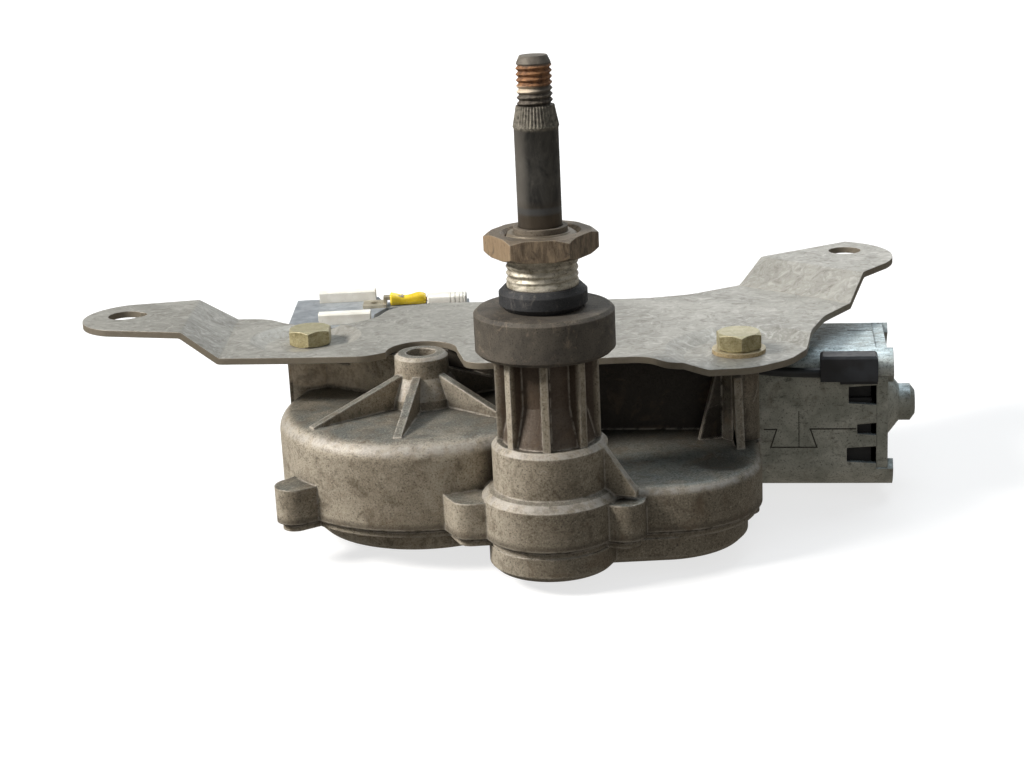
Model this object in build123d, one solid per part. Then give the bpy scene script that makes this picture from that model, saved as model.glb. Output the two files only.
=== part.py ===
"""Rear wiper motor: a worm-geared motor whose toothed sector swings the wiper spindle.

Frame: the origin is on the spindle axis at the foot of the exposed sleeve thread, +Z runs up the
spindle, and +X runs towards the motor's end plate. Lengths are in millimetres, angles in degrees.
"""

import os
from math import atan, atan2, cos, degrees, hypot, pi, radians, sin, sqrt, tan

from build123d import *

# ---------------------------------------------------------------- driving dimensions
FIT = 0.05  # radial clearance of a running fit
SEAT = 0.3  # gap between pieces that nearly touch
FLAT_GAP = 0.1  # gap under a flat face that slides or rests

# spindle and its sleeve
SPINDLE_R = 4.85
SPINDLE_TOP = 50.2
SPINDLE_BASE = -62.6
SPINDLE_CHAMFER = 0.5
KNURL_FOOT, KNURL_HEAD = 35.1, 39.6
KNURL_R, KNURL_TIP_R = 5.06, 4.19
STUD_R, STUD_CHAMFER = 3.9, 0.8
SLEEVE_R, SLEEVE_TOP = 8.0, 12.0
SLEEVE_BORE_R = 5.9
SLEEVE_SPIGOT_R, SLEEVE_SPIGOT_BASE = 6.7, -32.0
BUSH_LENGTH, LOWER_BUSH_T = 9.0, 1.8
SEAL_R, SEAL_HEIGHT = 6.0, 1.2
NUT_FLATS, NUT_BASE, NUT_TOP = 22.0, 7.1, 12.04
NUT_TURN, NUT_CHAMFER, NUT_SINK = -2.9, 1.4, 0.9

# rubber seats
COLLAR_R, COLLAR_HEIGHT, COLLAR_EDGE = 9.85, 5.1, 1.2
GROMMET_R, GROMMET_HEIGHT, GROMMET_EDGE = 15.7, 9.9, 0.8

# tower of the housing
TOWER_TOP = -15.05
TOWER_CORE_R, TOWER_FOOT_R, TOWER_FOOT_HEIGHT = 8.3, 10.5, 9.0
TOWER_COLLAR_R, TOWER_COLLAR_TOP, TOWER_COLLAR_EDGE = 13.2, -35.5, 1.2
FIN_R, FIN_T, FIN_COUNT, FIN_TURN = 11.7, 1.8, 8, -4.5
GUSSET_REACH, GUSSET_TURN = 20.5, -22.0

# gear housing
WHEEL_X, WHEEL_Y = -29.6, 37.4
CHAMBER_R, CHAMBER_TOP, CHAMBER_EDGE = 35.4, -36.6, 4.5
LOBE_R, LOBE_EDGE = 15.9, 1.5
PAN_TOP, PAN_EDGE = -46.9, 2.5
PAN_FRONT, PAN_CORNER_X, PAN_CORNER_Y, PAN_CORNER_R = -6.0, 28.5, 15.5, 21.5
PAN_BACK_X, PAN_BACK_OFFSET = 52.0, 26.5
FLANGE_Z = -57.5
WALL = 2.6
HUB_BOSS_R, HUB_BOSS_TOP, HUB_BOSS_EDGE, HUB_BOSS_FOOT_R = 6.5, -24.4, 0.8, 9.0
RIB_T, RIB_TOP = 2.0, -28.4
ROOF_RIBS = [(216, 32.0), (260, 30.2), (317, 29.0), (20, 27.0), (75, 22.0)]  # heading, reach
EAR_R, EAR_TOP_DROP, EAR_NECK = 4.6, 2.0, 9.0
CHAMBER_EARS = [(216.7, 2.8), (286.1, 4.1), (120.5, 4.0)]  # heading, reach beyond the chamber wall
LOBE_EAR = (-22.8, 1.7)  # heading, reach beyond the lobe wall
PAN_SCREW = (46.4, 26.6)
DIMPLE_R, DIMPLE_DEPTH, DIMPLE_X, DIMPLE_Y = 6.5, 1.0, 40.0, 10.0
SCREEN_START, SCREEN_T = -12.0, 4.0  # wall behind the hub boss, from its left end
WEB_STEP, WEB_DROP = 21.8, 2.5  # where the web to the left post steps down, and how far
BEARING_WALL = 3.4  # wall round the lower bush, and its depth below the pan roof

# bottom cover
COVER_BASE, COVER_WALL, COVER_EDGE = -65.2, 2.0, 1.2
COVER_WHEEL_R, COVER_INSET, COVER_TRIM = 28.2, 1.1, 2.4
GASKET_T, COVER_FLANGE_T, FLANGE_INSET = 0.6, 1.4, 1.3
SCREW_R, SCREW_HEAD_R, SCREW_HEAD_H = 1.75, 2.9, 1.2
SCREW_DEPTH, SOCKET_R = 7.0, 1.3

# bracket
SHEET_T = 1.6
PLATE_TOP, PAD_DROP, EAR_RISE = -24.0, 2.0, 6.0
LEFT_FOLD_X, RIGHT_FOLD, FOLD_RUN, FOLD_R = -79.0, 100.9, 9.5, 1.5
RIGHT_HEADING = 45.0
LEFT_BOLT = (-58.2, 56.9)
RIGHT_BOLT = (46.8, 29.6)
LEFT_HOLE = (-105.6, 63.1)
RIGHT_HOLE = (84.4, 97.4)
EAR_HOLE_R, KEYHOLE_R, KEYHOLE_SHIFT = 4.3, 2.4, 3.2
STRIP_IN, STRIP_OUT, STRIP_HALF = 12.0, 60.0, 120.0  # sheet left of the fold, past it, and half its width
LEFT_DISH = (-59.2, 55.4, 10.5, 14.0)  # X, Y, radius of its floor and of its rim
RIGHT_DISH = (48.3, 26.1, 15.0, 19.5)
CORNER_R = 14.0  # largest rounding of the bracket's outline
BRACKET_FRONT = [(-88.5, 43.0), (-79.0, 38.9), (-58.0, 36.0), (-43.0, 34.4), (-38.2, 37.2)]
NOTCH_BACK = (-29.4, 46.0)
BRACKET_RIGHT = [
    (-20.8, 37.0),
    (-18.8, 25.5),
    (-15.4, 23.4),
    (24.4, 22.6),
    (29.0, 15.2),
    (48.5, 15.2),
    (57.8, 21.0),
    (63.0, 29.0),
    (66.2, 40.0),
    (71.0, 51.5),
    (79.6, 63.1),
    (84.8, 71.8),
    (92.4, 80.6),
]
RIGHT_TIP = (95.4, 96.4)
BRACKET_BACK = [
    (86.5, 108.6),
    (72.8, 101.0),
    (61.5, 95.0),
    (54.6, 88.2),
    (40.3, 80.6),
    (29.6, 78.9),
    (20.7, 79.4),
    (-29.0, 85.0),
    (-39.2, 81.6),
    (-42.5, 70.5),
    (-53.7, 65.2),
    (-64.7, 69.1),
    (-71.0, 76.1),
    (-79.0, 77.4),
    (-88.5, 76.4),
    (-106.4, 74.3),
]
LEFT_TIP, LEFT_NOSE = (-115.8, 60.0), (-108.0, 48.6)
BOLT_R, BOLT_FLATS, BOLT_HEAD_H, BOLT_DEPTH = 3.0, 10.0, 4.1, 9.0
WASHER_R, WASHER_T = 6.4, 1.0
POST_R, RIGHT_POST_R = 5.4, 4.7

# motor
MOTOR_OFFSET = 34.0
MOTOR_TURN = -8.1
MOTOR_Z = -48.35
MOUTH_START, MOUTH_END, MOUTH_WALL = 40.0, 64.0, 2.6
TUNNEL_R, TUNNEL_START = 9.1, -21.0
YOKE_SIDE, YOKE_T, YOKE_CORNER_R = 35.6, 1.6, 7.0
YOKE_START, YOKE_END = 58.0, 110.0
WINDOWS = [(7.2, 4.2, 6.8), (-1.6, 2.4, 4.7), (-8.3, 3.6, 7.2)]  # height, tall, long
WINDOW_FLARE = 0.5
TAB_T, TAB_W = 1.4, 8.0
END_PLATE_T, END_BOSS_R, END_BOSS_LENGTH, END_BOSS_WALL = 2.8, 4.7, 7.6, 1.1
SHAFT_R = 2.5
AIR_GAP = 0.5
STACK_R, STACK_START, STACK_LENGTH, STACK_SLOTS = 11.2, 64.0, 24.0, 10
MAGNET_SPAN = 130.0
BRUSH_START, BRUSH_END = 94.5, 108.8
COMMUTATOR_R, COMMUTATOR_START, COMMUTATOR_LENGTH = 7.0, 96.0, 10.0
BRUSH_W, BRUSH_H, BRUSH_LENGTH = 4.0, 5.0, 5.0
SPRING_R, SPRING_BORE_R = 1.7, 1.1
BEARING_START, BEARING_LENGTH, BEARING_T = 30.0, 8.0, 2.0
THRUST_R, THRUST_TIP = 3.6, -16.0
PLUG_START, PLUG_END, PLUG_BASE, PLUG_TOP, PLUG_DEPTH = 96.2, 110.0, 12.4, 18.7, 6.0
PLUG_FOOT, PLUG_EDGE = 9.0, 0.6

# worm and wheel
WORM_MODULE = 1.25
WHEEL_TEETH, WHEEL_FACE = 46, 9.0
WHEEL_WEB_T, WHEEL_RIM_T, WHEEL_HUB_R = 4.5, 2.6, 7.0
WORM_LENGTH = 26.0
WORM_BACKLASH = 0.34
AXLE_R, CLIP_T = 3.6, 0.7

# sector and pinion
SECTOR_MODULE, SECTOR_ANGLE = 1.25, 25.0
PINION_TEETH, SECTOR_TEETH = 12, 30
SECTOR_BACKLASH = 0.22
PINION_LIFT, PINION_FACE = 0.6, 5.0
ROD_T, ROD_DROP, ROD_HALF = 4.0, 0.4, 4.4
LINK_ANGLE = 58.0
CRANK_R, CRANK_PIN_R = 7.0, 2.5
LINK_T, LINK_EYE_R, LINK_HALF, LINK_PIN_R = 2.0, 6.5, 5.0, 2.5
EYE_WALL = 3.2
SECTOR_REACH = 25.0

# parking switch on the wheel
DISC_INNER_R, DISC_OUTER_R, DISC_T = 13.0, 22.0, 0.6
SWITCH_HEADING, SWITCH_START, SWITCH_END, SWITCH_W, SWITCH_T = 250.0, 10.5, 25.0, 10.0, 3.0
FINGER_FOOT, FINGER_TIP, FINGER_W, FINGER_T, FINGER_SHIFT = 20.0, 16.0, 2.0, 0.5, 2.6

# terminal group behind the left bolt
TERMINAL_T, SHELF_DROP, SHELF_T = 1.2, 1.0, 3.0
PLATE_LEFT, PLATE_RIGHT, PLATE_FRONT, PLATE_REAR = -66.5, -44.0, 77.0, 109.0
STRIP_Y, STRIP_W, STRIP_END = 99.0, 6.0, -18.5
RAIL_W, RAIL_H = 3.6, 3.0
REAR_RAIL_X, FRONT_RAIL_X, REAR_RAIL_GAP, FRONT_RAIL_GAP = -60.0, -58.2, 1.0, 2.6
PEG_R = 1.6
PEGS = [(-55.0, 81.5), (-52.0, 106.0)]
CRIMP_R, CRIMP_BORE_R, CRIMP_START, CRIMP_END = 2.1, 1.6, -40.5, -30.2
WIRE_R, WIRE_IN = 1.2, 3.0
BLOCK_START, BLOCK_END, BLOCK_W, BLOCK_RISE = -29.4, -19.0, 5.6, 1.9
BLADE_W, BLADE_T = 2.8, 0.8
LEAD_R, LEAD_IN_X, LEAD_IN, LEAD_OUT = 1.2, -24.0, 2.0, 12.0
LEAD_WAY = [  # X, Y and height above the yoke's top, from the plug to the connector block
    (45.4, 40.4, -1.05),
    (43.4, 50.0, 1.7),
    (44.2, 65.0, 1.7),
    (43.0, 80.0, 1.3),
    (33.0, 89.0, 0.3),
    (17.0, 93.0, -1.7),
    (1.0, 96.4, -3.5),
    (-12.0, 98.6, -4.5),
]
LEAD_TURN, LEAD_DIP, LEAD_RISE = 3.8, -3.45, 0.1  # last bend: how far before the block, and its heights

# ---------------------------------------------------------------- derived places
LOW, MID, HIGH = Align.MIN, Align.CENTER, Align.MAX
WORM_PITCH = pi * WORM_MODULE
WHEEL_R = WORM_MODULE * WHEEL_TEETH / 2
WORM_R = MOTOR_OFFSET - WHEEL_R
PINION_R = SECTOR_MODULE * PINION_TEETH / 2
SECTOR_R = SECTOR_MODULE * SECTOR_TEETH / 2
LINK_R = PINION_R + SECTOR_R
PLATE_BASE = PLATE_TOP - SHEET_T
PAD_TOP = PLATE_TOP - PAD_DROP
POST_TOP = PAD_TOP - SHEET_T
EAR_TOP = PLATE_TOP + EAR_RISE
SCREW_EAR_TOP = PAN_TOP - EAR_TOP_DROP
EARS = [
    (WHEEL_X + (CHAMBER_R + out) * cos(radians(turn)), WHEEL_Y + (CHAMBER_R + out) * sin(radians(turn)))
    for turn, out in CHAMBER_EARS
]
EARS.append(
    ((LOBE_R + LOBE_EAR[1]) * cos(radians(LOBE_EAR[0])), (LOBE_R + LOBE_EAR[1]) * sin(radians(LOBE_EAR[0])))
)
SCREWS = EARS + [PAN_SCREW]
MOTOR_DIR = (cos(radians(MOTOR_TURN)), sin(radians(MOTOR_TURN)))
MOTOR_X = WHEEL_X - MOTOR_OFFSET * MOTOR_DIR[1]
MOTOR_Y = WHEEL_Y + MOTOR_OFFSET * MOTOR_DIR[0]
MOTOR = Location((MOTOR_X, MOTOR_Y, MOTOR_Z), (0, 0, MOTOR_TURN))
YOKE_TOP = MOTOR_Z + YOKE_SIDE / 2
END_FACE = YOKE_END + END_PLATE_T
WHEEL = Pos(WHEEL_X, WHEEL_Y, 0)
WHEEL_BASE = MOTOR_Z - WHEEL_FACE / 2
WHEEL_TOP = MOTOR_Z + WHEEL_FACE / 2
WEB_TOP = WHEEL_BASE + WHEEL_WEB_T
SECTOR_X = LINK_R * cos(radians(LINK_ANGLE))
SECTOR_Y = LINK_R * sin(radians(LINK_ANGLE))
PINION_BASE = SPINDLE_BASE + PINION_LIFT
PINION_TOP = PINION_BASE + PINION_FACE
ROD_TOP = PINION_TOP - ROD_DROP
LINK_BASE = PINION_TOP + SEAT
LINK_TOP = LINK_BASE + LINK_T
COVER_FLANGE_TOP = FLANGE_Z - GASKET_T
COVER_SEAT = COVER_FLANGE_TOP - COVER_FLANGE_T
LOWER_BUSH_R = SPINDLE_R + LOWER_BUSH_T
LOWER_BUSH_BASE = PAN_TOP - WALL - BEARING_WALL
COMMUTATOR_MIDDLE = COMMUTATOR_START + COMMUTATOR_LENGTH / 2
SHELF_TOP = POST_TOP - SHELF_DROP
TERMINAL_TOP = SHELF_TOP + TERMINAL_T
CRIMP_Z = TERMINAL_TOP + CRIMP_R
LEAD_EXIT = (-YOKE_SIDE / 2 - PLUG_DEPTH / 2, PLUG_BASE + LEAD_R + 0.3)


def crank_place():
    """Rest place of the crank pin: where the crank stands square to the rod."""
    dx = SECTOR_X - WHEEL_X
    dy = SECTOR_Y - WHEEL_Y
    span = hypot(dx, dy)
    along = CRANK_R**2 / span
    across = sqrt(CRANK_R**2 - along**2)
    return (
        WHEEL_X + (dx * along - dy * across) / span,
        WHEEL_Y + (dy * along + dx * across) / span,
    )


CRANK_X, CRANK_Y = crank_place()


# ---------------------------------------------------------------- helpers
def post(radius, base, top, x=0.0, y=0.0):
    """Upright cylinder from base to top."""
    return Pos(x, y, base) * Cylinder(radius, top - base, align=(MID, MID, LOW))


def tube(outer, inner, base, top, x=0.0, y=0.0):
    return post(outer, base, top, x, y) - post(inner, base, top, x, y)


def rod(radius, start, end):
    """Cylinder along the motor axis, between two distances from the worm's middle."""
    return MOTOR * Pos(start, 0, 0) * Rot(0, 90, 0) * Cylinder(radius, end - start, align=(MID, MID, LOW))


def pipe(outer, inner, start, end):
    return rod(outer, start, end) - rod(inner, start, end)


def prism(face, base, top):
    """Plan outline raised between two heights."""
    return extrude(Pos(0, 0, base) * face, top - base)


def along_motor(face, start, end):
    """Section drawn across the motor axis (local X across, local Y up), swept along it."""
    plane = Plane(origin=(start, 0, 0), x_dir=(0, 1, 0), z_dir=(1, 0, 0))
    return MOTOR * extrude(plane * face, end - start)


def polygon(points):
    return make_face(Polyline(*points, close=True))


def upright_plate(points, thickness):
    """Plate that stands in the XZ plane, from (distance, height) points."""
    return extrude(Plane.XZ * polygon(points), thickness / 2, both=True)


def turned(profile):
    """Solid of revolution about Z from (radius, height) points."""
    return revolve(Plane.XZ * polygon(profile), Axis.Z)


def hexagon(flats, base, top, turn=0.0, chamfer_by=0.0):
    """Hexagonal prism whose corners may be turned off at both ends."""
    body = prism(Rot(0, 0, turn) * RegularPolygon(flats / 2, 6, major_radius=False), base, top)
    if chamfer_by:
        corner = flats / sqrt(3)
        drop = chamfer_by * 0.6
        lathe = turned(
            [
                (0, base),
                (corner - chamfer_by, base),
                (corner, base + drop),
                (corner, top - drop),
                (corner - chamfer_by, top),
                (0, top),
            ]
        )
        body = body & lathe
    return body


def edges_at(shape, height):
    """Edges that lie wholly at one height."""
    return [
        e
        for e in shape.edges()
        if abs(e.bounding_box().min.Z - height) < 1e-4 and abs(e.bounding_box().max.Z - height) < 1e-4
    ]


def round_edges(shape, radius):
    """Circular edges of one radius."""
    return [e for e in shape.edges() if e.geom_type == GeomType.CIRCLE and abs(e.radius - radius) < 0.01]


def involute_angle(radius, base):
    """Polar angle of an involute where it reaches a radius."""
    if radius <= base:
        return 0.0
    roll = sqrt((radius / base) ** 2 - 1)
    return roll - atan(roll)


def tooth_points(teeth, module, pressure, backlash, steps=3):
    """One tooth about angle 0, root to root, as (radius, angle in radians) pairs."""
    pitch = module * teeth / 2
    base = pitch * cos(radians(pressure))
    root = pitch - 1.25 * module
    tip = pitch + 0.95 * module
    half = (pi * module / 2 - backlash) / (2 * pitch) + involute_angle(pitch, base)
    flank = []
    for i in range(steps + 1):
        r = max(root, base) + (tip - max(root, base)) * i / steps
        flank.append((r, half - involute_angle(r, base)))
    low = [(root, flank[0][1])] if root < base - 0.01 else []
    rising = [(r, -a) for r, a in low + flank]
    falling = [(r, a) for r, a in reversed(low + flank)]
    return rising + falling


def gear_face(teeth, module, pressure, backlash, turn=0.0, steps=3):
    """Full gear outline with one tooth centred on the turn angle."""
    points = []
    for n in range(teeth):
        middle = radians(turn) + 2 * pi * n / teeth
        for r, a in tooth_points(teeth, module, pressure, backlash, steps):
            points.append((r * cos(middle + a), r * sin(middle + a)))
    return polygon(points)


# ---------------------------------------------------------------- gear housing
def back_line(x, inset=0.0):
    """Y of the pan's back wall, which runs parallel to the motor."""
    return MOTOR_Y + (x - MOTOR_X) * MOTOR_DIR[1] / MOTOR_DIR[0] - PAN_BACK_OFFSET - inset


def pan_face(inset=0.0, trim=0.0):
    """Plan of the pan right of the spindle: straight front, round corner, straight right side."""
    corner = PAN_CORNER_R - inset
    front = PAN_FRONT + inset
    side = PAN_BACK_X - inset - trim
    middle = PAN_CORNER_X - trim
    edges = [
        Line((0, front), (middle, front)),
        RadiusArc((middle, front), (middle + corner, PAN_CORNER_Y), -corner),
        Line((middle + corner, PAN_CORNER_Y), (side, back_line(side, inset))),
        Line((side, back_line(side, inset)), (0, back_line(0, inset))),
        Line((0, back_line(0, inset)), (0, front)),
    ]
    return make_face(edges)


def bridge_face(inset=0.0):
    """Plan of the floor between chamber and pan, behind the spindle."""
    left = -22.0
    return polygon([(left, 10), (8, 10), (8, back_line(8, inset)), (left, back_line(left, inset))])


def ear_face(x, y, radius):
    """Screw ear: a round nose that runs back into the body."""
    toward = (WHEEL_X, WHEEL_Y) if x < 0 else (PAN_CORNER_X * 0.6, PAN_CORNER_Y)
    dx = toward[0] - x
    dy = toward[1] - y
    span = hypot(dx, dy)
    ux = dx / span
    uy = dy / span
    back = 9.0
    side = radius * 1.25
    neck = polygon(
        [
            (x - uy * radius, y + ux * radius),
            (x + uy * radius, y - ux * radius),
            (x + ux * back + uy * side, y + uy * back - ux * side),
            (x + ux * back - uy * side, y + uy * back + ux * side),
        ]
    )
    ear = neck + Pos(x, y) * Circle(radius)
    if hypot(x, y) < LOBE_R + 2 * EAR_R:
        ear = ear + bar_face(x, y, 0, 0, radius)
    return ear


def flange_face(inset=0.0):
    """Plan of the joint between housing and cover."""
    face = Pos(WHEEL_X, WHEEL_Y) * Circle(CHAMBER_R - inset)
    face = face + Circle(LOBE_R - inset) + pan_face(inset) + bridge_face(inset)
    for x, y in EARS:
        face = face + ear_face(x, y, EAR_R - inset)
    return face


def cavity_face(inset):
    """Plan of the space for the linkage, inside the walls."""
    wheel = Pos(WHEEL_X, WHEEL_Y) * Circle(CHAMBER_R - inset)
    spindle = Circle(LOBE_R - inset)
    return wheel + spindle + pan_face(inset) + bridge_face(inset)


def tower():
    """Column that carries the spindle, with its fins and collar."""
    column = turned(
        [
            (0, FLANGE_Z),
            (LOBE_R, FLANGE_Z),
            (LOBE_R, PAN_TOP - LOBE_EDGE),
            (LOBE_R - LOBE_EDGE, PAN_TOP),
            (TOWER_COLLAR_R, PAN_TOP + 0.6),
            (TOWER_COLLAR_R, TOWER_COLLAR_TOP - TOWER_COLLAR_EDGE),
            (TOWER_COLLAR_R - TOWER_COLLAR_EDGE, TOWER_COLLAR_TOP),
            (TOWER_FOOT_R, TOWER_COLLAR_TOP),
            (TOWER_CORE_R, TOWER_COLLAR_TOP + TOWER_FOOT_HEIGHT),
            (TOWER_CORE_R, TOWER_TOP),
            (0, TOWER_TOP),
        ]
    )
    fin = Pos(0, 0, TOWER_COLLAR_TOP - 1) * Box(
        FIN_R, FIN_T, TOWER_TOP - TOWER_COLLAR_TOP + 1, align=(LOW, MID, LOW)
    )
    for n in range(FIN_COUNT):
        column = column + Rot(0, 0, -90 + FIN_TURN + 360 / FIN_COUNT * n) * fin
    gusset_top = TOWER_COLLAR_TOP - TOWER_COLLAR_EDGE
    gusset = [
        (0, PAN_TOP - 1),
        (GUSSET_REACH, PAN_TOP - 1),
        (GUSSET_REACH, PAN_TOP + 0.3),
        (TOWER_COLLAR_R, gusset_top),
        (0, gusset_top),
    ]
    return column + Rot(0, 0, GUSSET_TURN) * upright_plate(gusset, RIB_T)


def hub_boss():
    """Boss over the wheel axle, with its ribs on the chamber roof."""
    boss = WHEEL * turned(
        [
            (0, CHAMBER_TOP - WALL),
            (HUB_BOSS_FOOT_R + 1, CHAMBER_TOP - WALL),
            (HUB_BOSS_FOOT_R, CHAMBER_TOP + 2),
            (HUB_BOSS_R + 0.2, CHAMBER_TOP + 7),
            (HUB_BOSS_R, HUB_BOSS_TOP - HUB_BOSS_EDGE),
            (HUB_BOSS_R - HUB_BOSS_EDGE, HUB_BOSS_TOP),
            (0, HUB_BOSS_TOP),
        ]
    )
    for heading, reach in ROOF_RIBS:
        rib = [
            (0, CHAMBER_TOP - 1),
            (reach, CHAMBER_TOP - 1),
            (reach, CHAMBER_TOP + 0.3),
            (HUB_BOSS_R - 1.5, RIB_TOP),
            (0, RIB_TOP),
        ]
        boss = boss + WHEEL * Rot(0, 0, heading) * upright_plate(rib, RIB_T)
    return boss


def post_wall():
    """Web from the hub boss to the left bolt post."""
    dx = LEFT_BOLT[0] - WHEEL_X
    dy = LEFT_BOLT[1] - WHEEL_Y
    span = hypot(dx, dy)
    low = FLANGE_Z + 5
    high = PLATE_BASE - SEAT
    step = POST_TOP - WEB_DROP
    web = [(0, low), (span, low), (span, step), (WEB_STEP, step), (WEB_STEP - 1.5, high), (0, high)]
    return WHEEL * Rot(0, 0, degrees(atan2(dy, dx))) * upright_plate(web, RIB_T)


def bolt_posts():
    """Posts under the bracket's two bolts, with the right one's rib and gusset."""
    left = post(POST_R, FLANGE_Z, POST_TOP, *LEFT_BOLT)
    right = post(RIGHT_POST_R, PAN_TOP - 2, POST_TOP, *RIGHT_BOLT)
    low = PAN_TOP - 1
    front_rib = upright_plate([(0, low), (11.4, low), (6.8, POST_TOP - 3), (0, POST_TOP)], RIB_T)
    side_rib = upright_plate([(0, low), (10.6, low), (5.6, POST_TOP - 1), (0, POST_TOP - 1)], RIB_T * 0.8)
    front_rib = Pos(-1.2, 0, 0) * Rot(0, 0, -90) * front_rib
    return left + right + Pos(*RIGHT_BOLT, 0) * (front_rib + Rot(0, 0, 190) * side_rib)


def motor_mouth():
    """Worm tunnel and the square mouth that takes the yoke."""
    side = YOKE_SIDE + 2 * MOUTH_WALL
    square = RectangleRounded(side, side, YOKE_CORNER_R + MOUTH_WALL)
    mouth = along_motor(square, MOUTH_START, MOUTH_END)
    tunnel = rod(TUNNEL_R, TUNNEL_START, MOUTH_START + 1)
    deep = PAN_BACK_OFFSET - 4
    low = FLANGE_Z - MOTOR_Z
    high = YOKE_SIDE / 2 + 1
    block = Pos(-PAN_BACK_OFFSET, low) * Rectangle(deep, high - low, align=(LOW, LOW))
    wall = Pos(-PAN_BACK_OFFSET, low) * Rectangle(SCREEN_T, high - low, align=(LOW, LOW))
    foot = CHAMBER_TOP - 1 - MOTOR_Z
    rise = PLATE_BASE - SEAT - MOTOR_Z - foot
    screen = Pos(-PAN_BACK_OFFSET, foot) * Rectangle(SCREEN_T / 2, rise, align=(LOW, LOW))
    body = mouth + tunnel + along_motor(block, MOUTH_START - 12, YOKE_START - 1)
    body = body + along_motor(wall, MOUTH_START - 12, MOUTH_END + 8)
    return body + along_motor(screen, SCREEN_START, MOUTH_START - 11)


def gear_housing():
    """Die-cast housing: chamber, pan, tower, posts, worm tunnel and motor mouth in one piece."""
    chamber = post(CHAMBER_R, FLANGE_Z, CHAMBER_TOP, WHEEL_X, WHEEL_Y)
    chamber = fillet(edges_at(chamber, CHAMBER_TOP), CHAMBER_EDGE)
    pan = prism(pan_face(), FLANGE_Z, PAN_TOP)
    rims = [e for e in edges_at(pan, PAN_TOP) if e.center().X > 1]
    pan = fillet([e for e in rims if e.center().Y < back_line(e.center().X) - 1], PAN_EDGE)
    body = chamber + pan + prism(bridge_face(), FLANGE_Z, PAN_TOP)
    for x, y in EARS:
        body = body + prism(ear_face(x, y, EAR_R), FLANGE_Z, SCREW_EAR_TOP)
    body = body + motor_mouth() + tower() + hub_boss() + bolt_posts() + post_wall() + terminal_shelf()
    # wheel space, then the linkage space below it
    body = body - post(CHAMBER_R - WALL, FLANGE_Z, CHAMBER_TOP - WALL, WHEEL_X, WHEEL_Y)
    body = body - prism(cavity_face(WALL), FLANGE_Z, PAN_TOP - WALL)
    body = body + post(SPINDLE_R + BEARING_WALL, LOWER_BUSH_BASE, PAN_TOP)
    body = body + post(EAR_R, FLANGE_Z, PAN_TOP - 0.5, *PAN_SCREW)
    ball_r = (DIMPLE_R**2 + DIMPLE_DEPTH**2) / (2 * DIMPLE_DEPTH)
    body = body - Pos(DIMPLE_X, DIMPLE_Y, PAN_TOP + ball_r - DIMPLE_DEPTH) * Sphere(ball_r)
    return body - spindle_bores() - motor_bores() - fastener_bores()


def spindle_bores():
    """Bores in the tower for the spindle, its sleeve and its lower bush, and the wheel axle's bore."""
    bores = post(SLEEVE_SPIGOT_R, SLEEVE_SPIGOT_BASE, TOWER_TOP)
    bores = bores + post(SPINDLE_R + 0.5, SPINDLE_BASE, TOWER_TOP)
    bores = bores + post(LOWER_BUSH_R, LOWER_BUSH_BASE, LOWER_BUSH_BASE + BUSH_LENGTH)
    return bores + post(AXLE_R, WHEEL_BASE, HUB_BOSS_TOP, WHEEL_X, WHEEL_Y)


def motor_bores():
    """Worm bore, shaft bores and the square recess for the yoke, all on the motor axis."""
    reach = WORM_LENGTH / 2 + 1.5
    bores = rod(WORM_R + 0.95 * WORM_MODULE + 0.5, -reach, reach)
    bores = bores + rod(SHAFT_R + 0.6, TUNNEL_START, YOKE_START)
    bores = bores + rod(SHAFT_R + BEARING_T, BEARING_START, BEARING_START + BEARING_LENGTH)
    bores = bores + rod(THRUST_R, TUNNEL_START, THRUST_TIP)
    recess = yoke_section(YOKE_SIDE + 2 * FIT, YOKE_CORNER_R + FIT)
    bores = bores + along_motor(recess, YOKE_START, MOUTH_END)
    inner = YOKE_SIDE - 2 * YOKE_T - 2
    return bores + along_motor(yoke_section(inner, YOKE_CORNER_R - YOKE_T), MOUTH_START + 4, YOKE_START)


def fastener_bores():
    """Tapped holes for the bracket bolts and the cover screws."""
    bores = Part()
    for x, y in (LEFT_BOLT, RIGHT_BOLT):
        bores = bores + post(BOLT_R, POST_TOP - BOLT_DEPTH, POST_TOP, x, y)
    for x, y in SCREWS:
        bores = bores + post(SCREW_R, FLANGE_Z, FLANGE_Z + SCREW_DEPTH, x, y)
    return bores


# ---------------------------------------------------------------- bottom cover
def cover_plan(inset):
    """Plan of the raised part of the cover."""
    face = Pos(WHEEL_X, WHEEL_Y) * Circle(COVER_WHEEL_R - inset)
    face = face + Circle(LOBE_R - COVER_INSET - inset) + pan_face(COVER_INSET + inset, COVER_TRIM)
    return face + bridge_face(COVER_INSET + inset)


def bottom_cover():
    """Deep cover with a flange, screwed to the housing from below."""
    flange = prism(flange_face(FLANGE_INSET), COVER_SEAT, COVER_FLANGE_TOP)
    pan = prism(cover_plan(0), COVER_BASE, COVER_SEAT + 0.1)
    cover = flange + chamfer(edges_at(pan, COVER_BASE), COVER_EDGE)
    cover = cover - prism(cover_plan(COVER_WALL), COVER_BASE + COVER_WALL, COVER_FLANGE_TOP)
    cover = cover + post(SCREW_HEAD_R + 1.6, COVER_BASE, COVER_FLANGE_TOP, *PAN_SCREW)
    cover = cover - post(SCREW_HEAD_R + SEAT, COVER_BASE, COVER_SEAT, *PAN_SCREW)
    for x, y in SCREWS:
        cover = cover - post(SCREW_R + 0.2, COVER_SEAT, COVER_FLANGE_TOP, x, y)
        cover = cover - screw_cone(x, y, FLAT_GAP)
    return cover


def screw_cone(x, y, gap=0.0):
    """Countersunk head of a cover screw, or its seat with a gap round it."""
    cone = Cone(SCREW_HEAD_R + gap, SCREW_R + gap, SCREW_HEAD_H, align=(MID, MID, LOW))
    return Pos(x, y, COVER_SEAT) * cone


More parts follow.
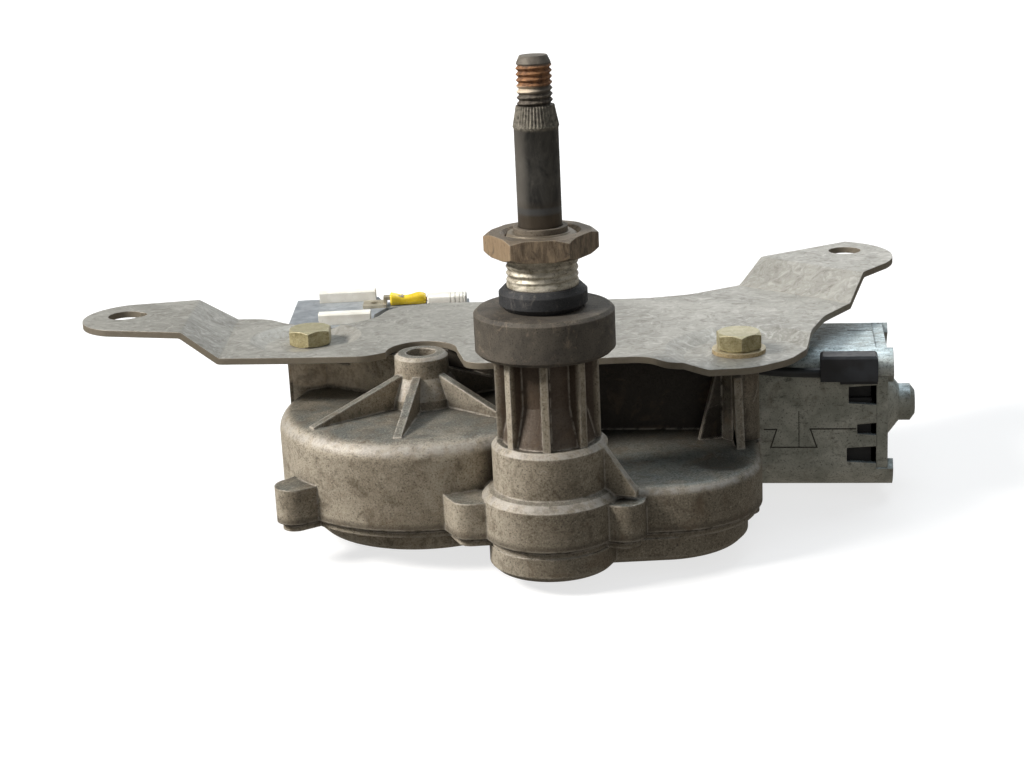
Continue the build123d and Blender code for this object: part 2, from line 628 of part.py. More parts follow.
def cover_gasket():
    """Thin gasket between housing and cover, a little inside their edge."""
    ring = prism(flange_face(FLANGE_INSET + 0.5), COVER_FLANGE_TOP, FLANGE_Z)
    ring = ring - prism(cavity_face(WALL), COVER_FLANGE_TOP, FLANGE_Z)
    ring = ring + post(EAR_R, COVER_FLANGE_TOP, FLANGE_Z, *PAN_SCREW)
    for x, y in SCREWS:
        ring = ring - post(SCREW_R + 0.2, COVER_FLANGE_TOP, FLANGE_Z, x, y)
    return ring


def cover_screws():
    """Countersunk screws that hold the cover."""
    screws = []
    for x, y in SCREWS:
        shank = post(SCREW_R, COVER_SEAT, FLANGE_Z + SCREW_DEPTH - 1, x, y)
        socket = prism(Pos(x, y) * RegularPolygon(SOCKET_R, 6), COVER_SEAT, COVER_SEAT + SCREW_HEAD_H)
        screws.append(shank + screw_cone(x, y) - socket)
    return screws


# ---------------------------------------------------------------- spindle group
def spindle():
    """Wiper spindle with its knurled cone and threaded end."""
    return turned(
        [
            (0, SPINDLE_BASE),
            (SPINDLE_R - SPINDLE_CHAMFER, SPINDLE_BASE),
            (SPINDLE_R, SPINDLE_BASE + SPINDLE_CHAMFER),
            (SPINDLE_R, KNURL_FOOT - 0.4),
            (KNURL_R, KNURL_FOOT),
            (KNURL_TIP_R, KNURL_HEAD),
            (STUD_R, KNURL_HEAD),
            (STUD_R, SPINDLE_TOP - STUD_CHAMFER),
            (STUD_R - STUD_CHAMFER, SPINDLE_TOP),
            (0, SPINDLE_TOP),
        ]
    )


def spindle_sleeve():
    """Threaded sleeve pressed into the tower."""
    return turned(
        [
            (SLEEVE_BORE_R, SLEEVE_SPIGOT_BASE),
            (SLEEVE_SPIGOT_R, SLEEVE_SPIGOT_BASE),
            (SLEEVE_SPIGOT_R, TOWER_TOP),
            (SLEEVE_R, TOWER_TOP),
            (SLEEVE_R, SLEEVE_TOP - STUD_CHAMFER),
            (SLEEVE_R - STUD_CHAMFER, SLEEVE_TOP),
            (SLEEVE_BORE_R, SLEEVE_TOP),
        ]
    )


def spindle_bush(base, outer):
    """Sintered bush on the spindle."""
    return tube(outer, SPINDLE_R + FIT, base, base + BUSH_LENGTH)


def sleeve_nut():
    """Hexagon nut on the sleeve's thread, its corners turned off."""
    nut = hexagon(NUT_FLATS, NUT_BASE, NUT_TOP, NUT_TURN, NUT_CHAMFER)
    sink = Cone(SLEEVE_R, SLEEVE_R + NUT_SINK, NUT_SINK, align=(MID, MID, LOW))
    return nut - post(SLEEVE_R, NUT_BASE, NUT_TOP) - Pos(0, 0, NUT_TOP - NUT_SINK) * sink


def rubber_ring(outer, top, height, edge):
    """Rubber ring round the sleeve with its outer edges eased."""
    ring = tube(outer, SLEEVE_R, top - height, top)
    return chamfer(round_edges(ring, outer), edge)


# ---------------------------------------------------------------- bracket
def corner_radii(points, largest=None):
    """Radii that round each inner corner of a polyline as far as its shorter run allows."""
    radii = []
    for before, here, after in zip(points, points[1:], points[2:]):
        turn = (here - before).get_angle(after - here)
        run = min((here - before).length, (after - here).length)
        radius = 0.45 * run / tan(radians(turn / 2))
        radii.append(radius if largest is None else min(radius, largest))
    return radii


def rounded_line(points):
    """Open outline through plan points with its corners rounded."""
    return FilletPolyline(*points, radius=corner_radii([Vector(*p) for p in points], CORNER_R))


def bracket_plan():
    """Plan of the pressed bracket from left ear to right ear."""
    return make_face(
        [
            rounded_line(BRACKET_FRONT),
            ThreePointArc(BRACKET_FRONT[-1], NOTCH_BACK, BRACKET_RIGHT[0]),
            rounded_line(BRACKET_RIGHT),
            ThreePointArc(BRACKET_RIGHT[-1], RIGHT_TIP, BRACKET_BACK[0]),
            rounded_line(BRACKET_BACK),
            ThreePointArc(BRACKET_BACK[-1], LEFT_TIP, LEFT_NOSE),
            Line(LEFT_NOSE, BRACKET_FRONT[0]),
        ]
    )


def folded_strip(reach_in, reach_out, half_width):
    """Sheet that steps up to an ear: level, slope, level, with bent corners."""
    low = PLATE_TOP
    high = EAR_TOP
    slant = SHEET_T * tan(atan(EAR_RISE / FOLD_RUN) / 2)
    points = [
        (-reach_in, low),
        (0, low),
        (FOLD_RUN, high),
        (reach_out, high),
        (reach_out, high - SHEET_T),
        (FOLD_RUN + slant, high - SHEET_T),
        (slant, low - SHEET_T),
        (-reach_in, low - SHEET_T),
    ]
    side = polygon(points)
    bends = [v for v in side.vertices() if -1 < v.X < FOLD_RUN + 2]
    side = fillet(bends, FOLD_R)
    return extrude(Plane.XZ * side, half_width, both=True)


def dish(x, y, floor_r, rim_r):
    """Pressed round pad, sunk below the plate; returns the disc to cut and the sheet to add."""
    cut = post(rim_r, PLATE_BASE - 1, PLATE_TOP + 1, x, y)
    sheet = Pos(x, y, 0) * turned(
        [
            (0, PAD_TOP),
            (floor_r, PAD_TOP),
            (rim_r, PLATE_TOP),
            (rim_r, PLATE_BASE),
            (floor_r, POST_TOP),
            (0, POST_TOP),
        ]
    )
    return cut, sheet


def mounting_bracket():
    """Pressed steel bracket with two raised ears and two sunk bolt pads."""
    left_ear = Pos(LEFT_FOLD_X, 0, 0) * Rot(0, 0, 180) * folded_strip(STRIP_IN, STRIP_OUT, STRIP_HALF)
    fold_x = RIGHT_FOLD * cos(radians(RIGHT_HEADING))
    fold_y = RIGHT_FOLD * sin(radians(RIGHT_HEADING))
    right_fold = Pos(fold_x, fold_y, 0) * Rot(0, 0, RIGHT_HEADING)
    right_ear = right_fold * folded_strip(STRIP_IN, STRIP_OUT, STRIP_HALF)
    reach = 4 * STRIP_HALF
    right_half = right_fold * Box(STRIP_HALF, reach, reach, align=(LOW, MID, MID))
    left_half = Pos(LEFT_FOLD_X, 0, 0) * Box(STRIP_HALF, reach, reach, align=(HIGH, MID, MID))
    middle = Pos(LEFT_FOLD_X, 0, PLATE_BASE) * Box(reach, reach, SHEET_T, align=(LOW, MID, LOW))
    plan = prism(bracket_plan(), PLATE_BASE - PAD_DROP - 1, EAR_TOP + 1)
    plate = (middle - right_half) & plan
    for x, y, floor_r, rim_r in (LEFT_DISH, RIGHT_DISH):
        cut, sheet = dish(x, y, floor_r, rim_r)
        plate = (plate - cut) + (sheet & plan)
    plate = plate + (left_ear & plan & left_half) + (right_ear & plan & right_half)
    holes = post(EAR_HOLE_R, EAR_TOP - 5, EAR_TOP + 5, *RIGHT_HOLE)
    holes = holes + post(EAR_HOLE_R, EAR_TOP - 5, EAR_TOP + 5, *LEFT_HOLE)
    holes = holes + post(KEYHOLE_R, EAR_TOP - 5, EAR_TOP + 5, LEFT_HOLE[0] + KEYHOLE_SHIFT, LEFT_HOLE[1])
    for x, y in (LEFT_BOLT, RIGHT_BOLT):
        holes = holes + post(BOLT_R + 0.3, POST_TOP - 1, PAD_TOP + 1, x, y)
    return plate - holes


def bracket_bolts():
    """Hexagon bolts that hold the bracket on the housing's posts."""
    bolts = []
    for (x, y), washer in ((LEFT_BOLT, 0), (RIGHT_BOLT, WASHER_T)):
        seat = PAD_TOP + washer
        head = hexagon(BOLT_FLATS, seat, seat + BOLT_HEAD_H, 30, 0.9)
        shank = post(BOLT_R, POST_TOP - BOLT_DEPTH + 1, seat + 0.1)
        bolts.append(Pos(x, y, 0) * (head + shank))
    return bolts


def bracket_washer():
    """Washer under the right bolt's head."""
    return tube(WASHER_R, BOLT_R + 0.1, PAD_TOP, PAD_TOP + WASHER_T, *RIGHT_BOLT)


# ---------------------------------------------------------------- motor
def yoke_section(side, corner):
    return RectangleRounded(side, side, corner)


def tab_corners(start, end):
    """Zones at the four corners of the yoke where its tabs stand."""
    zones = Sketch()
    reach = YOKE_SIDE / 2 - 1.5
    for turn in (45, 135, 225, 315):
        zones = zones + Rot(0, 0, turn) * Pos(reach * sqrt(2) - 1.0, 0) * Rectangle(8.0, TAB_W)
    return along_motor(zones, start, end)


def motor_yoke():
    """Rolled steel yoke, open at both ends, with notches over the brush holder."""
    inner_side = YOKE_SIDE - 2 * YOKE_T
    shell = along_motor(yoke_section(YOKE_SIDE, YOKE_CORNER_R), YOKE_START, YOKE_END)
    shell = shell - along_motor(yoke_section(inner_side, YOKE_CORNER_R - YOKE_T), YOKE_START, YOKE_END)
    for height, tall, long in WINDOWS:
        inner = tall / 2
        outer = inner + WINDOW_FLARE
        notch = [
            (YOKE_END - long, height - inner),
            (YOKE_END + 1, height - outer),
            (YOKE_END + 1, height + outer),
            (YOKE_END - long, height + inner),
        ]
        shell = shell - MOTOR * Pos(0, -YOKE_SIDE / 2, 0) * upright_plate(notch, 4 * YOKE_T)
    prongs = along_motor(yoke_section(YOKE_SIDE, YOKE_CORNER_R), YOKE_END, END_FACE + TAB_T)
    prongs = prongs - along_motor(yoke_section(inner_side, YOKE_CORNER_R - YOKE_T), YOKE_END, END_FACE)
    return shell + (prongs & tab_corners(YOKE_END, END_FACE + TAB_T))


def field_magnets():
    """Two curved ferrite magnets inside the yoke."""
    bore = STACK_R + AIR_GAP
    outer = YOKE_SIDE / 2 - YOKE_T
    start = STACK_START - 2
    end = STACK_START + STACK_LENGTH + 2
    half = radians(MAGNET_SPAN / 2)
    far = 2 * outer
    tip = (far * cos(half), far * sin(half))
    wedge = polygon([(0, 0), tip, (far, 0), (tip[0], -tip[1])])
    ring = pipe(outer, bore, start, end)
    return [ring & along_motor(Rot(0, 0, side) * wedge, start, end) for side in (90, -90)]


def end_plate():
    """Pressed end plate with the cup that holds the outer bearing."""
    plate = along_motor(yoke_section(YOKE_SIDE - 0.6, YOKE_CORNER_R - 0.3), YOKE_END, END_FACE)
    inner_side = YOKE_SIDE - 2 * YOKE_T
    rim = yoke_section(YOKE_SIDE, YOKE_CORNER_R) - yoke_section(inner_side, YOKE_CORNER_R - YOKE_T)
    plate = plate - (along_motor(rim, YOKE_END, END_FACE) & tab_corners(YOKE_END, END_FACE))
    cup = turned(
        [
            (0, END_FACE - 0.5),
            (END_BOSS_R + 4.6, END_FACE - 0.5),
            (END_BOSS_R + 4.0, END_FACE + 0.4),
            (END_BOSS_R, END_FACE + 3.6),
            (END_BOSS_R, END_FACE + END_BOSS_LENGTH - 1.2),
            (END_BOSS_R - 1.6, END_FACE + END_BOSS_LENGTH),
            (0, END_FACE + END_BOSS_LENGTH),
        ]
    )
    plate = plate + MOTOR * Rot(0, 90, 0) * cup
    return plate - rod(END_BOSS_R - END_BOSS_WALL, YOKE_END, END_FACE + END_BOSS_LENGTH - 1.2)


def end_bearing():
    """Bush pressed into the end plate's cup."""
    return pipe(END_BOSS_R - END_BOSS_WALL, SHAFT_R + FIT, YOKE_END + 0.5, END_FACE + END_BOSS_LENGTH - 1.4)


def brush_holder():
    """Moulded brush card that fills the yoke's end, with two brush boxes."""
    inner_side = YOKE_SIDE - 2 * YOKE_T
    card = along_motor(yoke_section(inner_side - 0.2, YOKE_CORNER_R - YOKE_T), BRUSH_START, BRUSH_END)
    card = card - rod(COMMUTATOR_R + 1.0, BRUSH_START, BRUSH_END)
    slot = Pos(BRUSH_END, -inner_side / 2, 9.5) * Box(6.0, 3.0, 7.0, align=(HIGH, MID, MID))
    for side in (1, -1):
        card = card - brush_box(side, BRUSH_W + 0.2, BRUSH_H + 0.2, inner_side / 2)
    return card - MOTOR * slot


def brush_box(side, wide, high, length):
    """Block that points away from the commutator, above it or below it."""
    place = Pos(COMMUTATOR_MIDDLE, 0, side * (COMMUTATOR_R + SEAT))
    return MOTOR * place * Box(wide, high, length, align=(MID, MID, LOW if side > 0 else HIGH))


def brushes():
    """Two carbon brushes, above and below the commutator."""
    return [brush_box(side, BRUSH_W, BRUSH_H, BRUSH_LENGTH) for side in (1, -1)]


def brush_springs():
    """Coil springs behind the brushes, as closed sleeves of their outer size."""
    near = COMMUTATOR_R + SEAT + BRUSH_LENGTH
    length = YOKE_SIDE / 2 - YOKE_T - SEAT - near
    coil = tube(SPRING_R, SPRING_BORE_R, 0, length)
    return [MOTOR * Pos(COMMUTATOR_MIDDLE, 0, base) * coil for base in (near, -near - length)]


def motor_plug():
    """Plug that sits on the yoke's shoulder over the brush card."""
    face = -YOKE_SIDE / 2 - FLAT_GAP
    long = PLUG_END - PLUG_START
    block = Box(long, PLUG_DEPTH, PLUG_TOP - PLUG_BASE, align=(LOW, HIGH, LOW))
    block = chamfer(block.edges().group_by(Axis.Z)[-1], PLUG_EDGE)
    foot = Box(PLUG_FOOT, PLUG_DEPTH - 2.0, 1.4, align=(HIGH, HIGH, LOW))
    plug = MOTOR * (Pos(PLUG_START, face, PLUG_BASE) * block + Pos(PLUG_END, face, PLUG_BASE - 1.2) * foot)
    hole = Pos(PLUG_START, *LEAD_EXIT) * Rot(0, 90, 0) * Cylinder(LEAD_R, 2 * LEAD_IN)
    return plug - MOTOR * hole


# ---------------------------------------------------------------- armature
def worm_thread(root):
    """Single thread of the worm on a root cylinder, from its axis point along Z."""
    tip = WORM_R + 0.95 * WORM_MODULE
    depth = tip - root
    slope = tan(radians(20))
    half_tip = WORM_PITCH / 4 - WORM_BACKLASH / 2 - (tip - WORM_R) * slope
    half_root = half_tip + depth * slope
    foot = root - 0.2
    section = polygon([(0, -half_root), (tip - foot, -half_tip), (tip - foot, half_tip), (0, half_root)])
    start = Plane(origin=(foot, 0, 0), x_dir=(1, 0, 0), z_dir=(0, -1, 0))
    return sweep(start * section, path=Helix(WORM_PITCH, WORM_LENGTH, foot), is_frenet=True)


def worm_shaft():
    """Armature shaft with the worm cut on it; a thread faces the wheel at the worm's middle."""
    root = WORM_R - 1.2 * WORM_MODULE
    start_angle = 180 - 360 * WORM_LENGTH / 2 / WORM_PITCH
    across = Plane(origin=(0, 0, 0), x_dir=(0, 1, 0), z_dir=(1, 0, 0)).location
    thread = MOTOR * across * Pos(0, 0, -WORM_LENGTH / 2) * Rot(0, 0, start_angle) * worm_thread(root)
    core = rod(root, -WORM_LENGTH / 2 - 1.0, WORM_LENGTH / 2 + 1.0)
    return rod(SHAFT_R, THRUST_TIP + FLAT_GAP, END_FACE + END_BOSS_LENGTH - 2.2) + core + thread


def armature_stack():
    """Laminated core with its slots."""
    end = STACK_START + STACK_LENGTH
    slot = Pos(STACK_R, 0) * Rectangle(5.0, 1.2) + Pos(STACK_R - 3.4, 0) * Circle(1.5)
    stack = rod(STACK_R, STACK_START, end)
    for n in range(STACK_SLOTS):
        stack = stack - along_motor(Rot(0, 0, 360 / STACK_SLOTS * n) * slot, STACK_START, end)
    return stack - rod(SHAFT_R, STACK_START, end)


def winding_end(start, end):
    """Wound end turns, a rounded ring beside the core."""
    outer = STACK_R - 1.4
    ring = pipe(outer, SHAFT_R + 0.8, start, end)
    return chamfer(round_edges(ring, outer), 1.5)


def armature_windings():
    """End turns of the winding at both ends of the core."""
    end = STACK_START + STACK_LENGTH
    return [winding_end(STACK_START - 4.5, STACK_START), winding_end(end, end + 5.0)]


def commutator():
    """Copper commutator with its riser collar."""
    bars = pipe(COMMUTATOR_R, SHAFT_R, COMMUTATOR_START, COMMUTATOR_START + COMMUTATOR_LENGTH)
    return bars + pipe(COMMUTATOR_R + 0.9, SHAFT_R, COMMUTATOR_START - 1.6, COMMUTATOR_START)


# ---------------------------------------------------------------- worm wheel
def worm_wheel():
    """Helical wheel with a web, hub and crank boss."""
    twist = degrees(WORM_PITCH / (2 * pi) * atan(WHEEL_FACE / 2 / WORM_R) / WHEEL_R)
    gap_turn = 90 + MOTOR_TURN + 180 / WHEEL_TEETH
    low = gear_face(WHEEL_TEETH, WORM_MODULE, 20, WORM_BACKLASH, gap_turn - twist, 1)
    high = gear_face(WHEEL_TEETH, WORM_MODULE, 20, WORM_BACKLASH, gap_turn + twist, 1)
    rim = loft([Pos(0, 0, WHEEL_BASE) * low, Pos(0, 0, WHEEL_TOP) * high], ruled=True)
    rim_inner = WHEEL_R - 1.25 * WORM_MODULE - WHEEL_RIM_T
    hollow = tube(rim_inner, WHEEL_HUB_R + 1.0, WEB_TOP, WHEEL_TOP)
    hub = post(WHEEL_HUB_R, WHEEL_TOP - 0.1, CHAMBER_TOP - WALL - SEAT)
    bore = post(AXLE_R + FIT, WHEEL_BASE, CHAMBER_TOP)
    pin_hole = post(CRANK_PIN_R, WHEEL_BASE, WEB_TOP, CRANK_X - WHEEL_X, CRANK_Y - WHEEL_Y)
    return WHEEL * (rim - hollow + hub - bore - pin_hole)


def wheel_axle():
    """Fixed axle, pressed into the hub boss."""
    top = HUB_BOSS_TOP - 3.0
    axle = post(AXLE_R, WHEEL_BASE - CLIP_T - FIT, top, WHEEL_X, WHEEL_Y)
    return chamfer(edges_at(axle, top), 0.6)


def wheel_clip():
    """Clip that keeps the wheel on its axle."""
    top = WHEEL_BASE - FIT
    return tube(AXLE_R + 0.6, AXLE_R, top - CLIP_T, top, WHEEL_X, WHEEL_Y)


def crank_pin():
    """Pin in the wheel that drives the rod; it ends just above the rod's eye."""
    return post(CRANK_PIN_R, ROD_TOP + SEAT, WEB_TOP, CRANK_X, CRANK_Y)


# ---------------------------------------------------------------- linkage
def spindle_pinion():
    """Pinion pressed on the spindle's foot, with a gap facing the sector."""
    turn = LINK_ANGLE + 180 / PINION_TEETH
    face = gear_face(PINION_TEETH, SECTOR_MODULE, SECTOR_ANGLE, SECTOR_BACKLASH, turn)
    return prism(face - Circle(SPINDLE_R), PINION_BASE, PINION_TOP)


def bar_face(x0, y0, x1, y1, half):
    """Plan of a straight bar between two eyes."""
    span = hypot(x1 - x0, y1 - y0)
    nx = -(y1 - y0) / span * half
    ny = (x1 - x0) / span * half
    return polygon([(x0 + nx, y0 + ny), (x1 + nx, y1 + ny), (x1 - nx, y1 - ny), (x0 - nx, y0 - ny)])


def guide_link():
    """Link that holds the sector's pin at its distance from the spindle."""
    face = bar_face(0, 0, SECTOR_X, SECTOR_Y, LINK_HALF) + Circle(SPINDLE_R + EYE_WALL)
    face = face + Pos(SECTOR_X, SECTOR_Y) * Circle(LINK_EYE_R)
    face = face - Circle(SPINDLE_R + FIT) - Pos(SECTOR_X, SECTOR_Y) * Circle(LINK_PIN_R)
    return prism(face, LINK_BASE, LINK_TOP)


def sector_face():
    """Toothed segment about the sector's pin, one tooth facing the spindle."""
    outline = []
    teeth = int(2 * SECTOR_REACH / (360 / SECTOR_TEETH)) + 1
    facing = radians(LINK_ANGLE + 180)
    first = -(teeth - 1) // 2
    for n in range(first, first + teeth):
        middle = facing + 2 * pi * n / SECTOR_TEETH
        for r, a in tooth_points(SECTOR_TEETH, SECTOR_MODULE, SECTOR_ANGLE, SECTOR_BACKLASH, 2):
            outline.append((SECTOR_X + r * cos(middle + a), SECTOR_Y + r * sin(middle + a)))
    outline.append((SECTOR_X, SECTOR_Y))
    return polygon(outline)


def sector_rod():
    """Connecting rod: crank eye at one end, toothed sector at the other, cut from one plate."""
    face = sector_face() + Pos(SECTOR_X, SECTOR_Y) * Circle(LINK_EYE_R)
    face = face + bar_face(SECTOR_X, SECTOR_Y, CRANK_X, CRANK_Y, ROD_HALF)
    face = face + Pos(CRANK_X, CRANK_Y) * Circle(CRANK_PIN_R + EYE_WALL)
    face = face - Pos(SECTOR_X, SECTOR_Y) * Circle(LINK_PIN_R + FIT)
    face = face - Pos(CRANK_X, CRANK_Y) * Circle(CRANK_PIN_R + FIT)
    return prism(face, ROD_TOP - ROD_T, ROD_TOP)


def link_pin():
    """Headed pin that joins link and sector."""
    pin = post(LINK_PIN_R, ROD_TOP - ROD_T, LINK_TOP, SECTOR_X, SECTOR_Y)
    return pin + post(LINK_PIN_R + 1.2, LINK_TOP, LINK_TOP + 1.0, SECTOR_X, SECTOR_Y)


def spindle_clip():
    """Clip on the spindle over the link's eye."""
    base = LINK_TOP + FLAT_GAP
    return tube(SPINDLE_R + 2.0, SPINDLE_R, base, base + 1.0)


# ---------------------------------------------------------------- small parts
def thrust_screw():
    """Screw that takes the worm's thrust at the tunnel's closed end."""
    screw = rod(THRUST_R, TUNNEL_START, THRUST_TIP)
    socket = along_motor(RegularPolygon(2.0, 6), TUNNEL_START, TUNNEL_START + 2)
    return screw - socket


def worm_bearing():
    """Bush that carries the shaft between worm and motor."""
    return pipe(SHAFT_R + BEARING_T, SHAFT_R + FIT, BEARING_START, BEARING_START + BEARING_LENGTH)


def box_between(x0, x1, y0, y1, z0, z1):
    return Pos(x0, y0, z0) * Box(x1 - x0, y1 - y0, z1 - z0, align=(LOW, LOW, LOW))


def terminal_shelf():
    """Cast ledge and column that carry the terminal plate."""
    left = PLATE_LEFT + 2.0
    low = MOTOR_Z + 3
    under = SHELF_TOP - SHELF_T
    ledge = box_between(left, PLATE_RIGHT + 1, PLATE_FRONT + 1, PLATE_REAR - 1, under, SHELF_TOP)
    column = box_between(left, LEFT_BOLT[0] + 3.2, LEFT_BOLT[1], PLATE_FRONT + 9, low, SHELF_TOP)
    side = polygon([(70, low), (80, low), (PLATE_REAR - 4, SHELF_TOP - 1), (70, SHELF_TOP - 1)])
    web = Pos(LEFT_BOLT[0] - 1, 0, 0) * extrude(Plane.YZ * side, 1.2, both=True)
    shelf = ledge + column + web
    for x, y in PEGS:
        shelf = shelf + post(PEG_R, SHELF_TOP - 1, TERMINAL_TOP, x, y)
    return shelf


def terminal_plate():
    """Bare steel plate that carries the terminals, held by two staked pegs."""
    outline = polygon(
        [
            (PLATE_LEFT, PLATE_FRONT),
            (PLATE_RIGHT, PLATE_FRONT),
            (PLATE_RIGHT, PLATE_FRONT + 12),
            (PLATE_RIGHT + 3, STRIP_Y - STRIP_W / 2),
            (STRIP_END, STRIP_Y - STRIP_W / 2),
            (STRIP_END, STRIP_Y + STRIP_W / 2),
            (PLATE_RIGHT + 2, STRIP_Y + STRIP_W / 2),
            (PLATE_RIGHT, PLATE_REAR),
            (PLATE_LEFT, PLATE_REAR),
        ]
    )
    for x, y in PEGS:
        outline = outline - Pos(x, y) * Circle(PEG_R + FIT)
    outline = outline - Pos(LEAD_IN_X, STRIP_Y) * Circle(LEAD_R + SEAT)
    return prism(outline, SHELF_TOP, TERMINAL_TOP)


def terminal_rails():
    """Two white plastic guides along the plate's front and rear edges."""
    rails = []
    for left, y in (
        (REAR_RAIL_X, PLATE_REAR - REAR_RAIL_GAP - RAIL_W),
        (FRONT_RAIL_X, PLATE_FRONT + FRONT_RAIL_GAP),
    ):
        rail = box_between(left, PLATE_RIGHT - 0.4, y, y + RAIL_W, TERMINAL_TOP, TERMINAL_TOP + RAIL_H)
        rails.append(chamfer(rail.edges().filter_by(Axis.X).group_by(Axis.Z)[-1], 0.4))
    return rails


def terminal_tab():
    """Brass blade from the plate into the crimp sleeve, with its round hole."""
    base = TERMINAL_TOP
    foot = CRIMP_Z - BLADE_T / 2
    bend = CRIMP_START - 0.6
    half = BLADE_W / 2
    wide = box_between(-47.5, bend, STRIP_Y - 3.2, STRIP_Y + 3.2, base, base + BLADE_T)
    riser = box_between(bend - BLADE_T, bend, STRIP_Y - half, STRIP_Y + half, base, foot + BLADE_T)
    blade = box_between(bend - BLADE_T, bend + 4.6, STRIP_Y - half, STRIP_Y + half, foot, foot + BLADE_T)
    return wide + riser + blade - post(1.5, base - 1, base + 2, PLATE_RIGHT, STRIP_Y)


def lying(radius, x0, x1):
    """Cylinder along X at the height of the crimp sleeve."""
    return Pos(x0, STRIP_Y, CRIMP_Z) * Rot(0, 90, 0) * Cylinder(radius, x1 - x0, align=(MID, MID, LOW))


def crimp_sleeve():
    """Insulated crimp sleeve with flared ends."""
    sleeve = lying(CRIMP_R - 0.4, CRIMP_START, CRIMP_END)
    for x in (CRIMP_START, CRIMP_END - 2.0):
        sleeve = sleeve + lying(CRIMP_R, x, x + 2.0)
    return sleeve - lying(CRIMP_BORE_R, CRIMP_START, CRIMP_END)


def terminal_wire():
    """Short wire between crimp sleeve and connector block."""
    return lying(WIRE_R, CRIMP_START + 4.3, BLOCK_START + WIRE_IN)


def connector_block():
    """White block on the plate's strip where the leads meet."""
    half = BLOCK_W / 2
    top = CRIMP_Z + BLOCK_RISE
    block = box_between(BLOCK_START, BLOCK_END, STRIP_Y - half, STRIP_Y + half, TERMINAL_TOP, top)
    block = block - lying(WIRE_R, BLOCK_START, BLOCK_START + WIRE_IN)
    return block - post(LEAD_R, TERMINAL_TOP, TERMINAL_TOP + LEAD_IN, LEAD_IN_X, STRIP_Y)


def lead_route():
    """Centre line of the motor lead, from the plug over the yoke to the connector block."""
    inside = (MOTOR * Pos(PLUG_START + LEAD_IN, *LEAD_EXIT)).position
    outside = (MOTOR * Pos(PLUG_START - LEAD_OUT, *LEAD_EXIT)).position
    return [
        (inside.X, inside.Y, inside.Z),
        (outside.X, outside.Y, outside.Z),
        *[(x, y, YOKE_TOP + above) for x, y, above in LEAD_WAY],
        (LEAD_IN_X + LEAD_TURN, STRIP_Y, YOKE_TOP + LEAD_DIP),
        (LEAD_IN_X, STRIP_Y, YOKE_TOP + LEAD_RISE),
        (LEAD_IN_X, STRIP_Y, TERMINAL_TOP + LEAD_IN),
    ]


def motor_lead():
    """Black lead as straight runs with tangent arcs."""
    points = [Vector(*p) for p in lead_route()]
    radii = corner_radii(points)
    print("lead radii", [round(r, 1) for r in radii])
    path = FilletPolyline(*points, radius=radii)
    first = (points[1] - points[0]).normalized()
    lead = sweep(Plane(origin=points[0], z_dir=first) * Circle(LEAD_R), path=path)
    tube_volume = pi * LEAD_R**2 * path.length
    print("lead length", round(path.length, 1), "volume ratio", round(lead.volume / tube_volume, 4))
    return lead


def contact_disc():
    """Copper track on the wheel's web."""
    return tube(DISC_OUTER_R, DISC_INNER_R, WEB_TOP, WEB_TOP + DISC_T, WHEEL_X, WHEEL_Y)


def at_switch(shape):
    """Places a shape that is drawn along X at the parking switch."""
    return WHEEL * Rot(0, 0, SWITCH_HEADING) * shape


def switch_base():
    """Insulating block under the chamber roof."""
    top = CHAMBER_TOP - WALL
    half = SWITCH_W / 2
    return at_switch(box_between(SWITCH_START, SWITCH_END, -half, half, top - SWITCH_T, top))


def switch_contacts():
    """Two spring fingers that ride on the track."""
    top = CHAMBER_TOP - WALL - SWITCH_T
    track = WEB_TOP + DISC_T + SEAT
    bend = SWITCH_END - FINGER_T
    side = [
        (FINGER_FOOT, top),
        (FINGER_FOOT, top - FINGER_T),
        (bend - 2 * FINGER_T, top - FINGER_T),
        (FINGER_TIP + 2 * FINGER_T, track + FINGER_T),
        (FINGER_TIP, track + FINGER_T),
        (FINGER_TIP, track),
        (FINGER_TIP + 2 * FINGER_T, track),
        (bend, top - FINGER_T),
        (bend, top),
    ]
    finger = upright_plate(side, FINGER_W)
    return [at_switch(Pos(0, across, 0) * finger) for across in (-FINGER_SHIFT, FINGER_SHIFT)]


